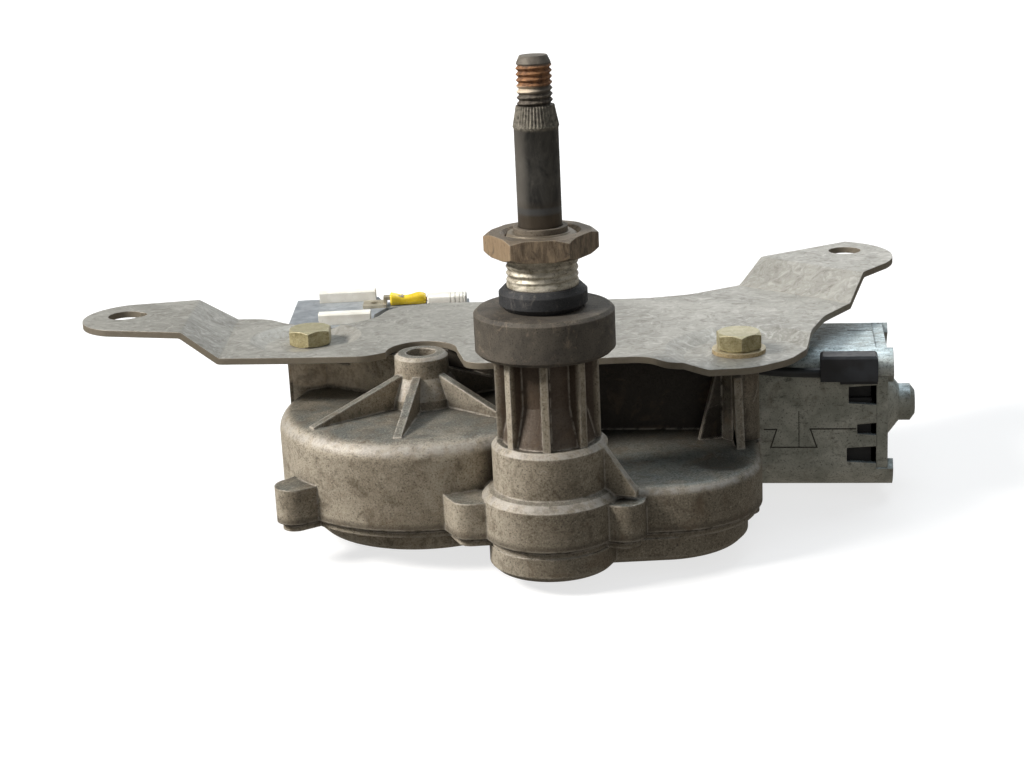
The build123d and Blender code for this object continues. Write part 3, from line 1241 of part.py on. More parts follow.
def export_all():
    os.makedirs("parts", exist_ok=True)
    nodes = {
        "gear_housing": gear_housing(),
        "bottom_cover": bottom_cover(),
        "cover_gasket": cover_gasket(),
        "cover_screws": cover_screws(),
        "wiper_spindle": spindle(),
        "spindle_sleeve": spindle_sleeve(),
        "upper_bush": spindle_bush(SLEEVE_TOP - BUSH_LENGTH, SLEEVE_BORE_R),
        "lower_bush": spindle_bush(LOWER_BUSH_BASE, LOWER_BUSH_R),
        "spindle_seal": tube(SEAL_R, SPINDLE_R + FIT, SLEEVE_TOP, SLEEVE_TOP + SEAL_HEIGHT),
        "sleeve_nut": sleeve_nut(),
        "sleeve_collar": rubber_ring(COLLAR_R, 0, COLLAR_HEIGHT, COLLAR_EDGE),
        "mounting_grommet": rubber_ring(GROMMET_R, -COLLAR_HEIGHT, GROMMET_HEIGHT, GROMMET_EDGE),
        "mounting_bracket": mounting_bracket(),
        "bracket_bolts": bracket_bolts(),
        "bracket_washer": bracket_washer(),
        "motor_yoke": motor_yoke(),
        "field_magnets": field_magnets(),
        "end_plate": end_plate(),
        "end_bearing": end_bearing(),
        "brush_holder": brush_holder(),
        "brushes": brushes(),
        "brush_springs": brush_springs(),
        "motor_plug": motor_plug(),
        "worm_shaft": worm_shaft(),
        "armature_stack": armature_stack(),
        "armature_windings": armature_windings(),
        "commutator": commutator(),
        "worm_wheel": worm_wheel(),
        "wheel_axle": wheel_axle(),
        "wheel_clip": wheel_clip(),
        "crank_pin": crank_pin(),
        "spindle_pinion": spindle_pinion(),
        "guide_link": guide_link(),
        "sector_rod": sector_rod(),
        "link_pin": link_pin(),
        "spindle_clip": spindle_clip(),
        "thrust_screw": thrust_screw(),
        "worm_bearing": worm_bearing(),
        "terminal_plate": terminal_plate(),
        "terminal_rails": terminal_rails(),
        "terminal_tab": terminal_tab(),
        "crimp_sleeve": crimp_sleeve(),
        "terminal_wire": terminal_wire(),
        "connector_block": connector_block(),
        "motor_lead": motor_lead(),
        "contact_disc": contact_disc(),
        "switch_base": switch_base(),
        "switch_contacts": switch_contacts(),
    }
    for name, shape in nodes.items():
        if isinstance(shape, list):
            shape = Compound(children=shape)
        export_step(shape, f"parts/{name}.step")
        print(name, len(shape.solids()), round(shape.volume, 1))


export_all()
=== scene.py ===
import math

import bmesh
import bpy
from mathutils import Matrix, Vector


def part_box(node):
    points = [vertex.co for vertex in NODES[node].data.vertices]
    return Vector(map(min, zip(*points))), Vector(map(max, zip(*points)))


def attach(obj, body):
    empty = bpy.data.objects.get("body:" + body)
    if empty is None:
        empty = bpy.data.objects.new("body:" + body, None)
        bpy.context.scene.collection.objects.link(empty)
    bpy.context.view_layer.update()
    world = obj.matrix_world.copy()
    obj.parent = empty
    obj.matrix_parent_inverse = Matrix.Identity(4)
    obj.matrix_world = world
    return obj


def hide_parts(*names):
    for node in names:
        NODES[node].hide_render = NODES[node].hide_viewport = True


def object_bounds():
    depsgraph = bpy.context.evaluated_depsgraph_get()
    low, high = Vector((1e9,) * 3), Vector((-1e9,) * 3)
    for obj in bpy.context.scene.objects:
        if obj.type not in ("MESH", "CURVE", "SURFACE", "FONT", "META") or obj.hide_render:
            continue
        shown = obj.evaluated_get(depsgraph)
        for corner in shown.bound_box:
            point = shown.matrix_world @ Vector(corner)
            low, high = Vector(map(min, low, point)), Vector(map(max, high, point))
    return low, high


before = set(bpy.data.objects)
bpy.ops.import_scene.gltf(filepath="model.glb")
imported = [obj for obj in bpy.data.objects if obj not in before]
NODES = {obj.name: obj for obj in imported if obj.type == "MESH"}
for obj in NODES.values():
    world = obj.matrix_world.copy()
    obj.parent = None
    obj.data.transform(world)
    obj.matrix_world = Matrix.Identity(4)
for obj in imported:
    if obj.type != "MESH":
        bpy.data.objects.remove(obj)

CAD_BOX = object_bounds()
MM = 0.001

# ---------------------------------------------------------------- sizes taken from the frame
SPINDLE_LOW, SPINDLE_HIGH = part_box("wiper_spindle")
SLEEVE_LOW, SLEEVE_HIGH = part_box("spindle_sleeve")

# camera: place, downward tilt and roll in degrees, focal length in pixels of a 1024-pixel frame
CAMERA_PLACE = Vector((-7.86, -408.26, 97.49)) * MM
CAMERA_TILT = 16.395
CAMERA_ROLL = -2.788
FOCAL_PIXELS = 1900.0
FRAME_WIDTH = 1024
SENSOR = 36.0

# lights: name, place and size in metres, power in watts, colour
LIGHT_TARGET = (0.0, 0.03, -0.02)
LIGHTS = [
    ("key", (-2.28, -0.60, 1.84), 0.80, 130.0, (1.0, 0.965, 0.92)),
    ("top", (0.25, 0.45, 0.90), 0.7, 4.0, (0.90, 0.96, 1.0)),
    ("front", (0.30, -1.10, 0.35), 0.8, 0.8, (1, 1, 1)),
    ("back", (0.50, 1.30, 0.45), 0.8, 2.5, (1, 1, 1)),
]
SKY_STRENGTH = 0.36

# ground, in metres: it lies just under the lowest point, and glows more the further away it is
FLOOR_REACH, FLOOR_Z = 6.0, CAD_BOX[0].z - 0.1 * MM
FLOOR_SHADE = 0.36
GLOW_NEAR, GLOW_FAR = (0.35, 0.72), (1.6, 1.0)  # distance and strength
BACKDROP_TOP, BACKDROP_SIDES = 7.0, 64


# ---------------------------------------------------------------- mesh helpers
def linked(name, data):
    """Makes an object from its data and links it to the scene."""
    made = bpy.data.objects.new(name, data)
    bpy.context.scene.collection.objects.link(made)
    return made


def new_object(name, mesh, body):
    """Links a mesh as a piece that rides on a body."""
    piece = linked(name, mesh)
    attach(piece, body)
    return piece


def circle(count):
    """Evenly spaced angles round a circle."""
    return [2 * math.pi * i / count for i in range(count)]


def grid_mesh(name, rows):
    """Mesh of quads between rings of points."""
    mesh = bpy.data.meshes.new(name)
    count = len(rows[0])
    points = [p for row in rows for p in row]
    faces = []
    for j in range(len(rows) - 1):
        low, high = j * count, (j + 1) * count
        for i in range(count):
            k = (i + 1) % count
            faces.append((low + i, low + k, high + k, high + i))
    mesh.from_pydata(points, [], faces)
    mesh.update()
    return mesh


def turned_rings(heights, radius, around):
    """Rings of points round Z whose radius depends on height and angle."""
    rings = []
    for z in heights:
        ring = []
        for angle in circle(around):
            r = radius(z, angle)
            ring.append((r * math.cos(angle), r * math.sin(angle), z))
        rings.append(ring)
    return rings


def lofted(name, rings):
    """Closed mesh through rings of points, with all normals outwards."""
    mesh = grid_mesh(name, rings)
    work = bmesh.new()
    work.from_mesh(mesh)
    rims = [e for e in work.edges if e.is_boundary]
    bmesh.ops.holes_fill(work, edges=rims, sides=0)
    bmesh.ops.recalc_face_normals(work, faces=work.faces)
    work.to_mesh(mesh)
    work.free()
    return mesh


def smooth(piece, angle):
    """Smooth shading with sharp edges kept above an angle in degrees."""
    mesh = piece.data
    mesh.shade_smooth()
    mesh.set_sharp_from_angle(angle=math.radians(angle))


def spread(start, end, count):
    """Evenly spaced values from start to end."""
    return [start + (end - start) * i / (count - 1) for i in range(count)]


# ---------------------------------------------------------------- material helpers
class Finish:
    """One procedural material, with short calls for the patterns it is made of."""

    def __init__(self, name, roughness, metallic=0.0):
        self.material = bpy.data.materials.new(name)
        self.material.use_nodes = True
        self.tree = self.material.node_tree
        self.shader = self.tree.nodes["Principled BSDF"]
        self.shader.inputs["Roughness"].default_value = roughness
        self.shader.inputs["Metallic"].default_value = metallic
        self.place = self.node("ShaderNodeTexCoord").outputs["Object"]
        self.facing = self.node("ShaderNodeNewGeometry").outputs["Normal"]

    def node(self, kind, **settings):
        made = self.tree.nodes.new(kind)
        for key, value in settings.items():
            setattr(made, key, value)
        return made

    def join(self, source, target):
        """Links an output to a socket, or sets a plain value on it."""
        if isinstance(source, bpy.types.NodeSocket):
            self.tree.links.new(source, target)
        else:
            target.default_value = source

    def stretched(self, size_mm, stretch, turn):
        """Object coordinates in units of size_mm times stretch, after a turn in degrees."""
        mapping = self.node("ShaderNodeMapping")
        self.join(self.place, mapping.inputs["Vector"])
        mapping.inputs["Rotation"].default_value = [math.radians(t) for t in turn]
        mapping.inputs["Scale"].default_value = [1 / (size_mm * MM * s) for s in stretch]
        return mapping.outputs["Vector"]

    def noise(self, size_mm, detail=4.0, rough=0.55, stretch=(1, 1, 1), warp=0.0, turn=(0, 0, 0)):
        """Soft noise whose features are about size_mm wide."""
        made = self.node("ShaderNodeTexNoise")
        self.join(self.stretched(size_mm, stretch, turn), made.inputs["Vector"])
        made.inputs["Scale"].default_value = 1.0
        made.inputs["Detail"].default_value = detail
        made.inputs["Roughness"].default_value = rough
        made.inputs["Distortion"].default_value = warp
        return made.outputs["Fac"]

    def band(self, value, low, high, to_low=0.0, to_high=1.0):
        """Clamped straight ramp from low..high to to_low..to_high."""
        made = self.node("ShaderNodeMapRange")
        self.join(value, made.inputs["Value"])
        made.inputs["From Min"].default_value = low
        made.inputs["From Max"].default_value = high
        made.inputs["To Min"].default_value = to_low
        made.inputs["To Max"].default_value = to_high
        return made.outputs["Result"]

    def maths(self, operation, a, b):
        """A sum or product of two values, clamped to 0..1."""
        made = self.node("ShaderNodeMath", operation=operation, use_clamp=True)
        self.join(a, made.inputs[0])
        self.join(b, made.inputs[1])
        return made.outputs[0]

    def both(self, a, b):
        """Mask that is set where both masks are."""
        return self.maths("MULTIPLY", a, b)

    def mix(self, factor, a, b):
        """Colour a where factor is 0, colour b where it is 1."""
        made = self.node("ShaderNodeMix", data_type="RGBA", blend_type="MIX")
        self.join(factor, made.inputs["Factor"])
        for source, socket in ((a, made.inputs["A"]), (b, made.inputs["B"])):
            if isinstance(source, tuple):
                source = (*source, 1.0)
            self.join(source, socket)
        return made.outputs["Result"]

    def axis(self, vector, which):
        """One component of a vector: 0 for X, 1 for Y, 2 for Z."""
        made = self.node("ShaderNodeSeparateXYZ")
        self.join(vector, made.inputs[0])
        return made.outputs[which]

    def worn_edges(self, radius_mm, low=0.02, high=0.25):
        """1 on sharp edges, 0 elsewhere."""
        bevel = self.node("ShaderNodeBevel", samples=4)
        bevel.inputs["Radius"].default_value = radius_mm * MM
        dot = self.node("ShaderNodeVectorMath", operation="DOT_PRODUCT")
        self.join(bevel.outputs["Normal"], dot.inputs[0])
        self.join(self.facing, dot.inputs[1])
        return self.band(dot.outputs["Value"], 1 - low, 1 - high)

    def hollows(self, distance_mm, open_from=0.75, shut_at=0.2):
        """1 in corners and hollows, 0 in the open."""
        made = self.node("ShaderNodeAmbientOcclusion", samples=6)
        made.inputs["Distance"].default_value = distance_mm * MM
        return self.band(made.outputs["AO"], open_from, shut_at)

    def bump(self, height, depth_mm, strength=1.0, round_mm=0.0):
        """Adds relief to the surface; round_mm softens the edges the light catches."""
        made = self.node("ShaderNodeBump")
        made.inputs["Strength"].default_value = strength
        made.inputs["Distance"].default_value = depth_mm * MM
        self.join(height, made.inputs["Height"])
        if round_mm:
            bevel = self.node("ShaderNodeBevel", samples=4)
            bevel.inputs["Radius"].default_value = round_mm * MM
            self.join(bevel.outputs["Normal"], made.inputs["Normal"])
        self.join(made.outputs["Normal"], self.shader.inputs["Normal"])

    def colour(self, value):
        if isinstance(value, tuple):
            value = (*value, 1.0)
        self.join(value, self.shader.inputs["Base Color"])

    def roughness(self, value):
        self.join(value, self.shader.inputs["Roughness"])

    def paint(self, *names):
        """Puts the material on CAD nodes."""
        for name in names:
            dress(NODES[name], self.material)


def dress(piece, material):
    """Makes a material the only one of a piece."""
    piece.data.materials.clear()
    piece.data.materials.append(material)


# ---------------------------------------------------------------- materials
def cast_alloy():
    """Weathered die-cast alloy: warm grey sides, dark bluish grime on top, painted highlights on
    rounded rims and on faces that look left, and painted shade in hollows and under the bracket.
    """
    f = Finish("cast_alloy", roughness=0.5, metallic=0.25)
    east, rear, height = f.axis(f.place, 0), f.axis(f.place, 1), f.axis(f.place, 2)
    up, ahead = f.axis(f.facing, 2), f.axis(f.facing, 1)
    # two greys in patches, darker low on the right, and painted light: paler on faces that look
    # left, towards the key light
    patches = f.noise(14.0, detail=6, rough=0.6, warp=0.8)
    base = f.mix(f.band(patches, 0.38, 0.62), (0.255, 0.216, 0.158), (0.375, 0.325, 0.248))
    right = f.both(f.band(east, -17 * MM, -5 * MM), f.band(height, -35 * MM, -49 * MM))
    base = f.mix(f.both(right, 0.55), base, (0.115, 0.096, 0.066))
    base = f.mix(f.band(f.axis(f.facing, 0), -0.35, -0.85, 0.0, 0.65), base, (0.58, 0.52, 0.42))
    # bluish film on faces that look up
    clouds = f.band(f.noise(7.0, detail=5, warp=0.6), 0.30, 0.60, 0.35, 1.0)
    top = f.both(f.band(up, 0.80, 0.97), clouds)
    film = f.mix(f.band(east, 8 * MM, 20 * MM), (0.102, 0.112, 0.104), (0.170, 0.190, 0.180))
    base = f.mix(f.both(top, 0.85), base, film)
    # pale and dark grains, then speckle, stains and scratches
    grain = f.noise(0.42, detail=3, rough=0.75)
    base = f.mix(f.band(grain, 0.54, 0.72, 0.0, 0.50), base, (0.54, 0.48, 0.39))
    base = f.mix(f.band(grain, 0.475, 0.31, 0.0, 0.86), base, (0.042, 0.033, 0.023))
    speckle = f.band(f.noise(1.7, detail=5, rough=0.72, warp=0.5), 0.50, 0.66)
    grubby = f.band(f.noise(11.0, detail=4, rough=0.6, warp=0.7), 0.42, 0.62, 0.15, 0.75)
    base = f.mix(f.both(speckle, grubby), base, (0.078, 0.060, 0.038))
    stains = f.band(f.noise(5.5, detail=7, rough=0.70, warp=0.8), 0.53, 0.68, 0.0, 0.72)
    base = f.mix(stains, base, (0.092, 0.070, 0.044))
    scratches = f.band(f.noise(2.2, detail=5, rough=0.8, warp=2.2), 0.60, 0.68, 0.0, 0.5)
    base = f.mix(scratches, base, (0.50, 0.45, 0.37))
    # one dark smudge on the front, and the dark joint line of the cover
    smudge = f.node("ShaderNodeVectorMath", operation="DISTANCE")
    f.join(f.place, smudge.inputs[0])
    smudge.inputs[1].default_value = (0.040, 0.010, -0.047)
    smudged = f.band(smudge.outputs["Value"], 7.5 * MM, 4.5 * MM, 0.0, 0.6)
    base = f.mix(smudged, base, (0.050, 0.046, 0.037))
    parting = f.both(f.band(height, -59.0 * MM, -58.2 * MM), f.band(height, -55.6 * MM, -56.6 * MM))
    base = f.mix(f.both(parting, 0.55), base, (0.060, 0.046, 0.031))
    # dirt and painted shade in the corners
    base = f.mix(f.hollows(5.0, 0.74, 0.28), base, (0.040, 0.031, 0.021))
    # painted light on the web of the left post: a pale tan patch standing in for its lit face
    lit_web = f.both(f.band(east, -30 * MM, -36 * MM), f.band(height, -36.3 * MM, -35.5 * MM))
    lit_web = f.both(lit_web, f.band(rear, 44 * MM, 48 * MM))
    lit_mottle = f.band(f.noise(1.2, detail=5, rough=0.7), 0.40, 0.62)
    painted_light_tan = f.mix(lit_mottle, (0.80, 0.70, 0.56), (0.52, 0.43, 0.31))
    base = f.mix(f.both(lit_web, 0.85), base, painted_light_tan)
    # painted shade under the bracket, brown on the column inside the fins, painted shade with some
    # dirt on the wall behind
    bracket_shade = f.both(f.hollows(32.0, 0.62, 0.25), f.band(rear, 12 * MM, 30 * MM))
    bracket_shade = f.both(bracket_shade, f.band(east, -32 * MM, -24 * MM))
    base = f.mix(f.both(bracket_shade, 0.85), base, (0.026, 0.021, 0.015))
    across = f.node("ShaderNodeVectorMath", operation="LENGTH")
    flat = f.node("ShaderNodeCombineXYZ")
    f.join(east, flat.inputs[0])
    f.join(rear, flat.inputs[1])
    f.join(flat.outputs[0], across.inputs[0])
    near_axis = f.band(across.outputs["Value"], 11.3 * MM, 10.2 * MM)
    column = f.both(near_axis, f.band(height, -46 * MM, -40 * MM))
    base = f.mix(f.both(column, 0.85), base, (0.050, 0.028, 0.016))
    # painted shade, with some dirt, on the wall behind that faces the front
    wall = f.both(f.band(rear, 22 * MM, 30 * MM), f.band(east, 2 * MM, 10 * MM))
    wall = f.both(wall, f.band(ahead, -0.3, -0.7))
    base = f.mix(f.both(wall, 0.85), base, (0.016, 0.013, 0.010))
    # painted highlight on rounded rims, brown blooms, and worn edges
    rim = f.both(f.band(up, 0.22, 0.50), f.band(up, 0.93, 0.74))
    rim_highlight = f.both(rim, f.band(f.noise(3.0, detail=5), 0.34, 0.56))
    base = f.mix(f.both(rim_highlight, 0.5), base, (0.46, 0.44, 0.41))
    blooms = f.band(f.noise(7.5, detail=6, rough=0.70, warp=0.9), 0.54, 0.68, 0.0, 0.5)
    base = f.mix(blooms, base, (0.130, 0.088, 0.052))
    worn = f.both(f.worn_edges(0.9, 0.015, 0.14), f.band(f.noise(2.0, detail=5), 0.36, 0.52))
    base = f.mix(f.both(worn, 0.75), base, (0.52, 0.475, 0.41))
    f.colour(base)
    f.roughness(f.band(grain, 0.3, 0.7, 0.64, 0.40))
    f.bump(grain, 0.16, 0.75, round_mm=0.5)
    return f


def galvanised_sheet():
    """Dull galvanised sheet with a cloudy spangle; its cut edges are darker and brown."""
    f = Finish("galvanised_sheet", roughness=0.45, metallic=0.35)
    clouds = f.noise(24.0, detail=5, warp=0.8)
    base = f.mix(f.band(clouds, 0.38, 0.62), (0.285, 0.275, 0.245), (0.385, 0.372, 0.335))
    spangle = f.noise(3.6, detail=6, rough=0.68, warp=1.8)
    base = f.mix(f.band(spangle, 0.52, 0.66, 0.0, 0.75), base, (0.50, 0.485, 0.445))
    base = f.mix(f.band(spangle, 0.47, 0.33, 0.0, 0.70), base, (0.190, 0.178, 0.150))
    marks = f.noise(1.1, detail=4, rough=0.7, stretch=(3.5, 1, 1), turn=(0, 0, 25))
    base = f.mix(f.band(marks, 0.60, 0.74, 0.0, 0.6), base, (0.62, 0.61, 0.58))
    base = f.mix(f.band(marks, 0.40, 0.28, 0.0, 0.6), base, (0.13, 0.12, 0.10))
    edge = f.band(f.axis(f.facing, 2), 0.55, 0.25)
    base = f.mix(f.both(edge, 0.8), base, (0.20, 0.165, 0.115))
    base = f.mix(f.both(f.worn_edges(0.35), 0.5), base, (0.52, 0.49, 0.43))
    f.colour(base)
    f.roughness(f.band(spangle, 0.3, 0.7, 0.58, 0.40))
    f.bump(marks, 0.05, 0.45, round_mm=0.3)
    return f


def weathered_rubber(name, light, dark, smudge):
    """Matt rubber with pale dusty smudges."""
    f = Finish(name, roughness=0.75)
    base = f.mix(f.band(f.noise(6.0, detail=5), 0.38, 0.62), dark, light)
    dust = f.noise(2.4, detail=7, rough=0.75, stretch=(1, 1, 1.6), warp=1.2)
    base = f.mix(f.band(dust, 0.55, 0.70, 0.0, 0.8), base, smudge)
    grain = f.noise(0.32, detail=3)
    base = f.mix(f.band(grain, 0.44, 0.30, 0.0, 0.7), base, tuple(0.35 * c for c in dark))
    base = f.mix(f.both(f.worn_edges(0.5), 0.5), base, smudge)
    f.colour(base)
    f.roughness(f.band(grain, 0.3, 0.7, 0.85, 0.6))
    f.bump(grain, 0.08, 0.6, round_mm=0.4)
    return f


def spindle_steel():
    """Blackened shaft, grey-brown knurl and a thread that is rusty above and dark below."""
    f = Finish("spindle_steel", roughness=0.42, metallic=0.3)
    height = f.axis(f.place, 2)
    f.join(f.band(height, 35.0 * MM, 34.4 * MM, 0.3, 0.75), f.shader.inputs["Metallic"])
    mottled = f.noise(3.4, detail=6, rough=0.65, stretch=(1, 1, 2.0), warp=0.5)
    shaft = f.mix(f.band(mottled, 0.38, 0.62), (0.045, 0.044, 0.042), (0.110, 0.105, 0.095))
    scuffs = f.noise(1.0, detail=6, rough=0.75, stretch=(1, 1, 2.6))
    shaft = f.mix(f.band(scuffs, 0.60, 0.75, 0.0, 0.6), shaft, (0.24, 0.22, 0.19))
    # painted sheen: faces that look left are painted paler where the key light would shine
    sheen_side = f.band(f.axis(f.facing, 0), -0.40, -0.85, 0.0, 0.7)
    shaft = f.mix(sheen_side, shaft, (0.30, 0.28, 0.25))
    shaft = f.mix(f.band(height, 19.5 * MM, 15.5 * MM, 0.0, 0.8), shaft, (0.10, 0.078, 0.055))
    grey_ring = f.both(f.band(height, 16.0 * MM, 16.6 * MM), f.band(height, 18.0 * MM, 17.4 * MM))
    shaft = f.mix(f.both(grey_ring, 0.45), shaft, (0.15, 0.165, 0.18))
    valleys = f.band(f.noise(0.8, detail=4), 0.35, 0.65)
    knurl = f.mix(valleys, (0.085, 0.078, 0.062), (0.26, 0.235, 0.19))
    base = f.mix(f.band(height, 34.2 * MM, 34.9 * MM), shaft, knurl)
    dark_thread = f.mix(f.band(scuffs, 0.4, 0.65), (0.050, 0.040, 0.030), (0.20, 0.17, 0.135))
    base = f.mix(f.band(height, 39.4 * MM, 39.8 * MM), base, dark_thread)
    west = f.band(f.axis(f.place, 0), 1.2 * MM, -1.4 * MM)
    pale = f.mix(west, (0.16, 0.14, 0.115), (0.66, 0.55, 0.42))
    base = f.mix(f.band(height, 42.1 * MM, 42.6 * MM), base, pale)
    flakes = f.band(f.noise(1.3, detail=6, rough=0.7), 0.36, 0.62)
    rust = f.mix(flakes, (0.095, 0.042, 0.020), (0.38, 0.19, 0.085))
    base = f.mix(f.band(height, 43.6 * MM, 44.1 * MM), base, rust)
    tip = f.mix(f.band(mottled, 0.4, 0.6), (0.11, 0.095, 0.078), (0.19, 0.168, 0.138))
    base = f.mix(f.band(height, 48.0 * MM, 48.5 * MM), base, tip)
    # painted shade in the hollows of the knurl and thread
    base = f.mix(f.both(f.hollows(0.8, 0.85, 0.40), 0.75), base, (0.022, 0.017, 0.013))
    f.colour(base)
    rough_top = f.band(height, 34.4 * MM, 35.0 * MM, 0.0, 0.28)
    f.roughness(f.maths("ADD", f.band(scuffs, 0.3, 0.7, 0.36, 0.52), rough_top))
    f.bump(scuffs, 0.05, 0.6)
    return f


def tarnished_nut():
    """Brown tarnished steel with upright streaks; faces that look left are tan, dried rust with
    painted light over it.
    """
    f = Finish("tarnished_nut", roughness=0.5, metallic=0.25)
    streaks = f.noise(1.0, detail=6, rough=0.75, stretch=(1, 1, 4.5), warp=0.4)
    base = f.mix(f.band(streaks, 0.38, 0.62), (0.095, 0.068, 0.043), (0.30, 0.225, 0.15))
    # faces that look left: tan dried rust, painted paler as well where the key light falls
    west = f.band(f.axis(f.facing, 0), -0.35, -0.8)
    base = f.mix(f.both(west, 0.7), base, (0.40, 0.285, 0.175))
    dark = f.noise(2.5, detail=5, rough=0.7, warp=0.8)
    base = f.mix(f.band(dark, 0.54, 0.70, 0.0, 0.7), base, (0.060, 0.045, 0.032))
    flat = f.band(f.axis(f.facing, 2), 0.6, 0.95, 0.0, 0.75)
    base = f.mix(flat, base, (0.125, 0.103, 0.076))
    base = f.mix(f.both(f.worn_edges(0.4), 0.7), base, (0.44, 0.37, 0.28))
    f.colour(base)
    f.roughness(f.band(streaks, 0.3, 0.7, 0.6, 0.42))
    f.bump(streaks, 0.10, 0.6, round_mm=0.3)
    return f


def bright_thread():
    """Silver-beige turned steel with dirt and painted shade in its thread and a brown, dirty mouth.
    """
    f = Finish("bright_thread", roughness=0.5, metallic=0.40)
    patches = f.noise(2.2, detail=6, rough=0.70, stretch=(1, 1, 0.5))
    base = f.mix(f.band(patches, 0.36, 0.60), (0.30, 0.265, 0.195), (0.72, 0.67, 0.56))
    dirt = f.noise(1.6, detail=6, rough=0.75, warp=0.8)
    base = f.mix(f.band(dirt, 0.54, 0.66, 0.0, 0.85), base, (0.13, 0.105, 0.072))
    # painted shade in the thread's hollows
    base = f.mix(f.both(f.hollows(0.7, 0.92, 0.55), 0.85), base, (0.085, 0.066, 0.045))
    mouth = f.band(f.axis(f.place, 2), 10.6 * MM, 11.3 * MM, 0.0, 0.85)
    base = f.mix(mouth, base, (0.150, 0.120, 0.086))
    f.colour(base)
    f.roughness(f.band(dirt, 0.3, 0.7, 0.42, 0.62))
    f.bump(patches, 0.05, 0.6)
    return f


def yellow_zinc(name, low, high):
    """Yellow-passivated zinc, dulled unevenly."""
    f = Finish(name, roughness=0.42, metallic=0.35)
    patches = f.noise(2.0, detail=6, rough=0.7, warp=0.5)
    base = f.mix(f.band(patches, 0.38, 0.62), low, high)
    grain = f.noise(0.4, detail=3)
    base = f.mix(f.band(grain, 0.55, 0.72, 0.0, 0.45), base, (0.58, 0.54, 0.40))
    base = f.mix(f.band(grain, 0.44, 0.28, 0.0, 0.65), base, (0.12, 0.09, 0.035))
    base = f.mix(f.band(f.axis(f.facing, 2), 0.6, 0.95, 0.0, 0.45), base, (0.46, 0.44, 0.32))
    base = f.mix(f.both(f.worn_edges(0.3), 0.7), base, (0.66, 0.60, 0.42))
    f.colour(base)
    f.roughness(f.band(patches, 0.3, 0.7, 0.5, 0.36))
    f.bump(grain, 0.05, 0.5, round_mm=0.25)
    return f


def yoke_sheet():
    """Grey-green mottled steel sheet, with a pale bluish painted highlight where it faces up and
    painted shade in its hollows.
    """
    f = Finish("yoke_sheet", roughness=0.45, metallic=0.3)
    clouds = f.noise(10.0, detail=6, rough=0.6, warp=0.9)
    base = f.mix(f.band(clouds, 0.38, 0.62), (0.29, 0.295, 0.250), (0.49, 0.485, 0.425))
    marks = f.noise(1.3, detail=6, rough=0.75, stretch=(2.4, 1, 1), warp=0.6)
    base = f.mix(f.band(marks, 0.55, 0.70, 0.0, 0.55), base, (0.37, 0.375, 0.34))
    base = f.mix(f.band(marks, 0.45, 0.32, 0.0, 0.7), base, (0.085, 0.086, 0.070))
    # painted highlight: faces that look up are painted pale and bluish, as if lit by the sky
    top = f.band(f.axis(f.facing, 2), 0.35, 0.85)
    pale = f.mix(f.band(marks, 0.38, 0.60), (0.27, 0.33, 0.345), (0.72, 0.83, 0.86))
    base = f.mix(f.both(top, 0.9), base, pale)
    grain = f.noise(0.45, detail=3, rough=0.7)
    base = f.mix(f.band(grain, 0.46, 0.30, 0.0, 0.75), base, (0.040, 0.042, 0.034))
    brown = f.band(f.noise(5.0, detail=6, rough=0.7, warp=1.0), 0.54, 0.68, 0.0, 0.55)
    base = f.mix(brown, base, (0.135, 0.115, 0.080))
    # painted shade in hollows
    base = f.mix(f.hollows(3.0, 0.75, 0.3), base, (0.028, 0.028, 0.022))
    base = f.mix(f.both(f.worn_edges(0.35), 0.65), base, (0.42, 0.42, 0.38))
    f.colour(base)
    f.roughness(f.band(grain, 0.3, 0.7, 0.58, 0.38))
    f.bump(marks, 0.06, 0.5, round_mm=0.3)
    return f


def moulded(name, colour, shade, roughness, grain_depth=0.02):
    """Moulded plastic with slight unevenness and painted shade in its corners."""
    f = Finish(name, roughness=roughness)
    base = f.mix(f.band(f.noise(5.0, detail=5), 0.38, 0.62), shade, colour)
    specks = f.band(f.noise(0.7, detail=4, rough=0.7), 0.62, 0.74, 0.0, 0.35)
    base = f.mix(specks, base, tuple(0.5 * c for c in shade))
    # painted shade in corners
    base = f.mix(f.both(f.hollows(2.0), 0.5), base, tuple(0.45 * c for c in shade))
    f.colour(base)
    f.roughness(f.band(f.noise(2.0, detail=4), 0.3, 0.7, roughness + 0.1, roughness - 0.08))
    f.bump(f.noise(0.5, detail=3), grain_depth, 0.4, round_mm=0.25)
    return f


def seam_dirt():
    """Dark dirt packed into a seam."""
    f = Finish("seam_dirt", roughness=0.8)
    specks = f.noise(0.8, detail=5, rough=0.7)
    f.colour(f.mix(f.band(specks, 0.40, 0.66), (0.022, 0.020, 0.016), (0.075, 0.068, 0.052)))
    f.roughness(f.band(specks, 0.3, 0.7, 0.9, 0.65))
    f.bump(specks, 0.03, 0.5)
    return f


def plain_metal(name, low, high, roughness=0.35, size_mm=4.0, metallic=0.6):
    """Machined or stamped metal of one colour with slight tarnish."""
    f = Finish(name, roughness=roughness, metallic=metallic)
    base = f.mix(f.band(f.noise(size_mm, detail=5), 0.38, 0.62), low, high)
    tarnish = f.band(f.noise(1.2, detail=5, rough=0.7), 0.56, 0.70, 0.0, 0.5)
    base = f.mix(tarnish, base, tuple(0.5 * c for c in low))
    f.colour(base)
    f.roughness(f.band(f.noise(1.5, detail=4), 0.3, 0.7, roughness - 0.08, roughness + 0.12))
    f.bump(f.noise(0.5, detail=3), 0.03, 0.4, round_mm=0.2)
    return f


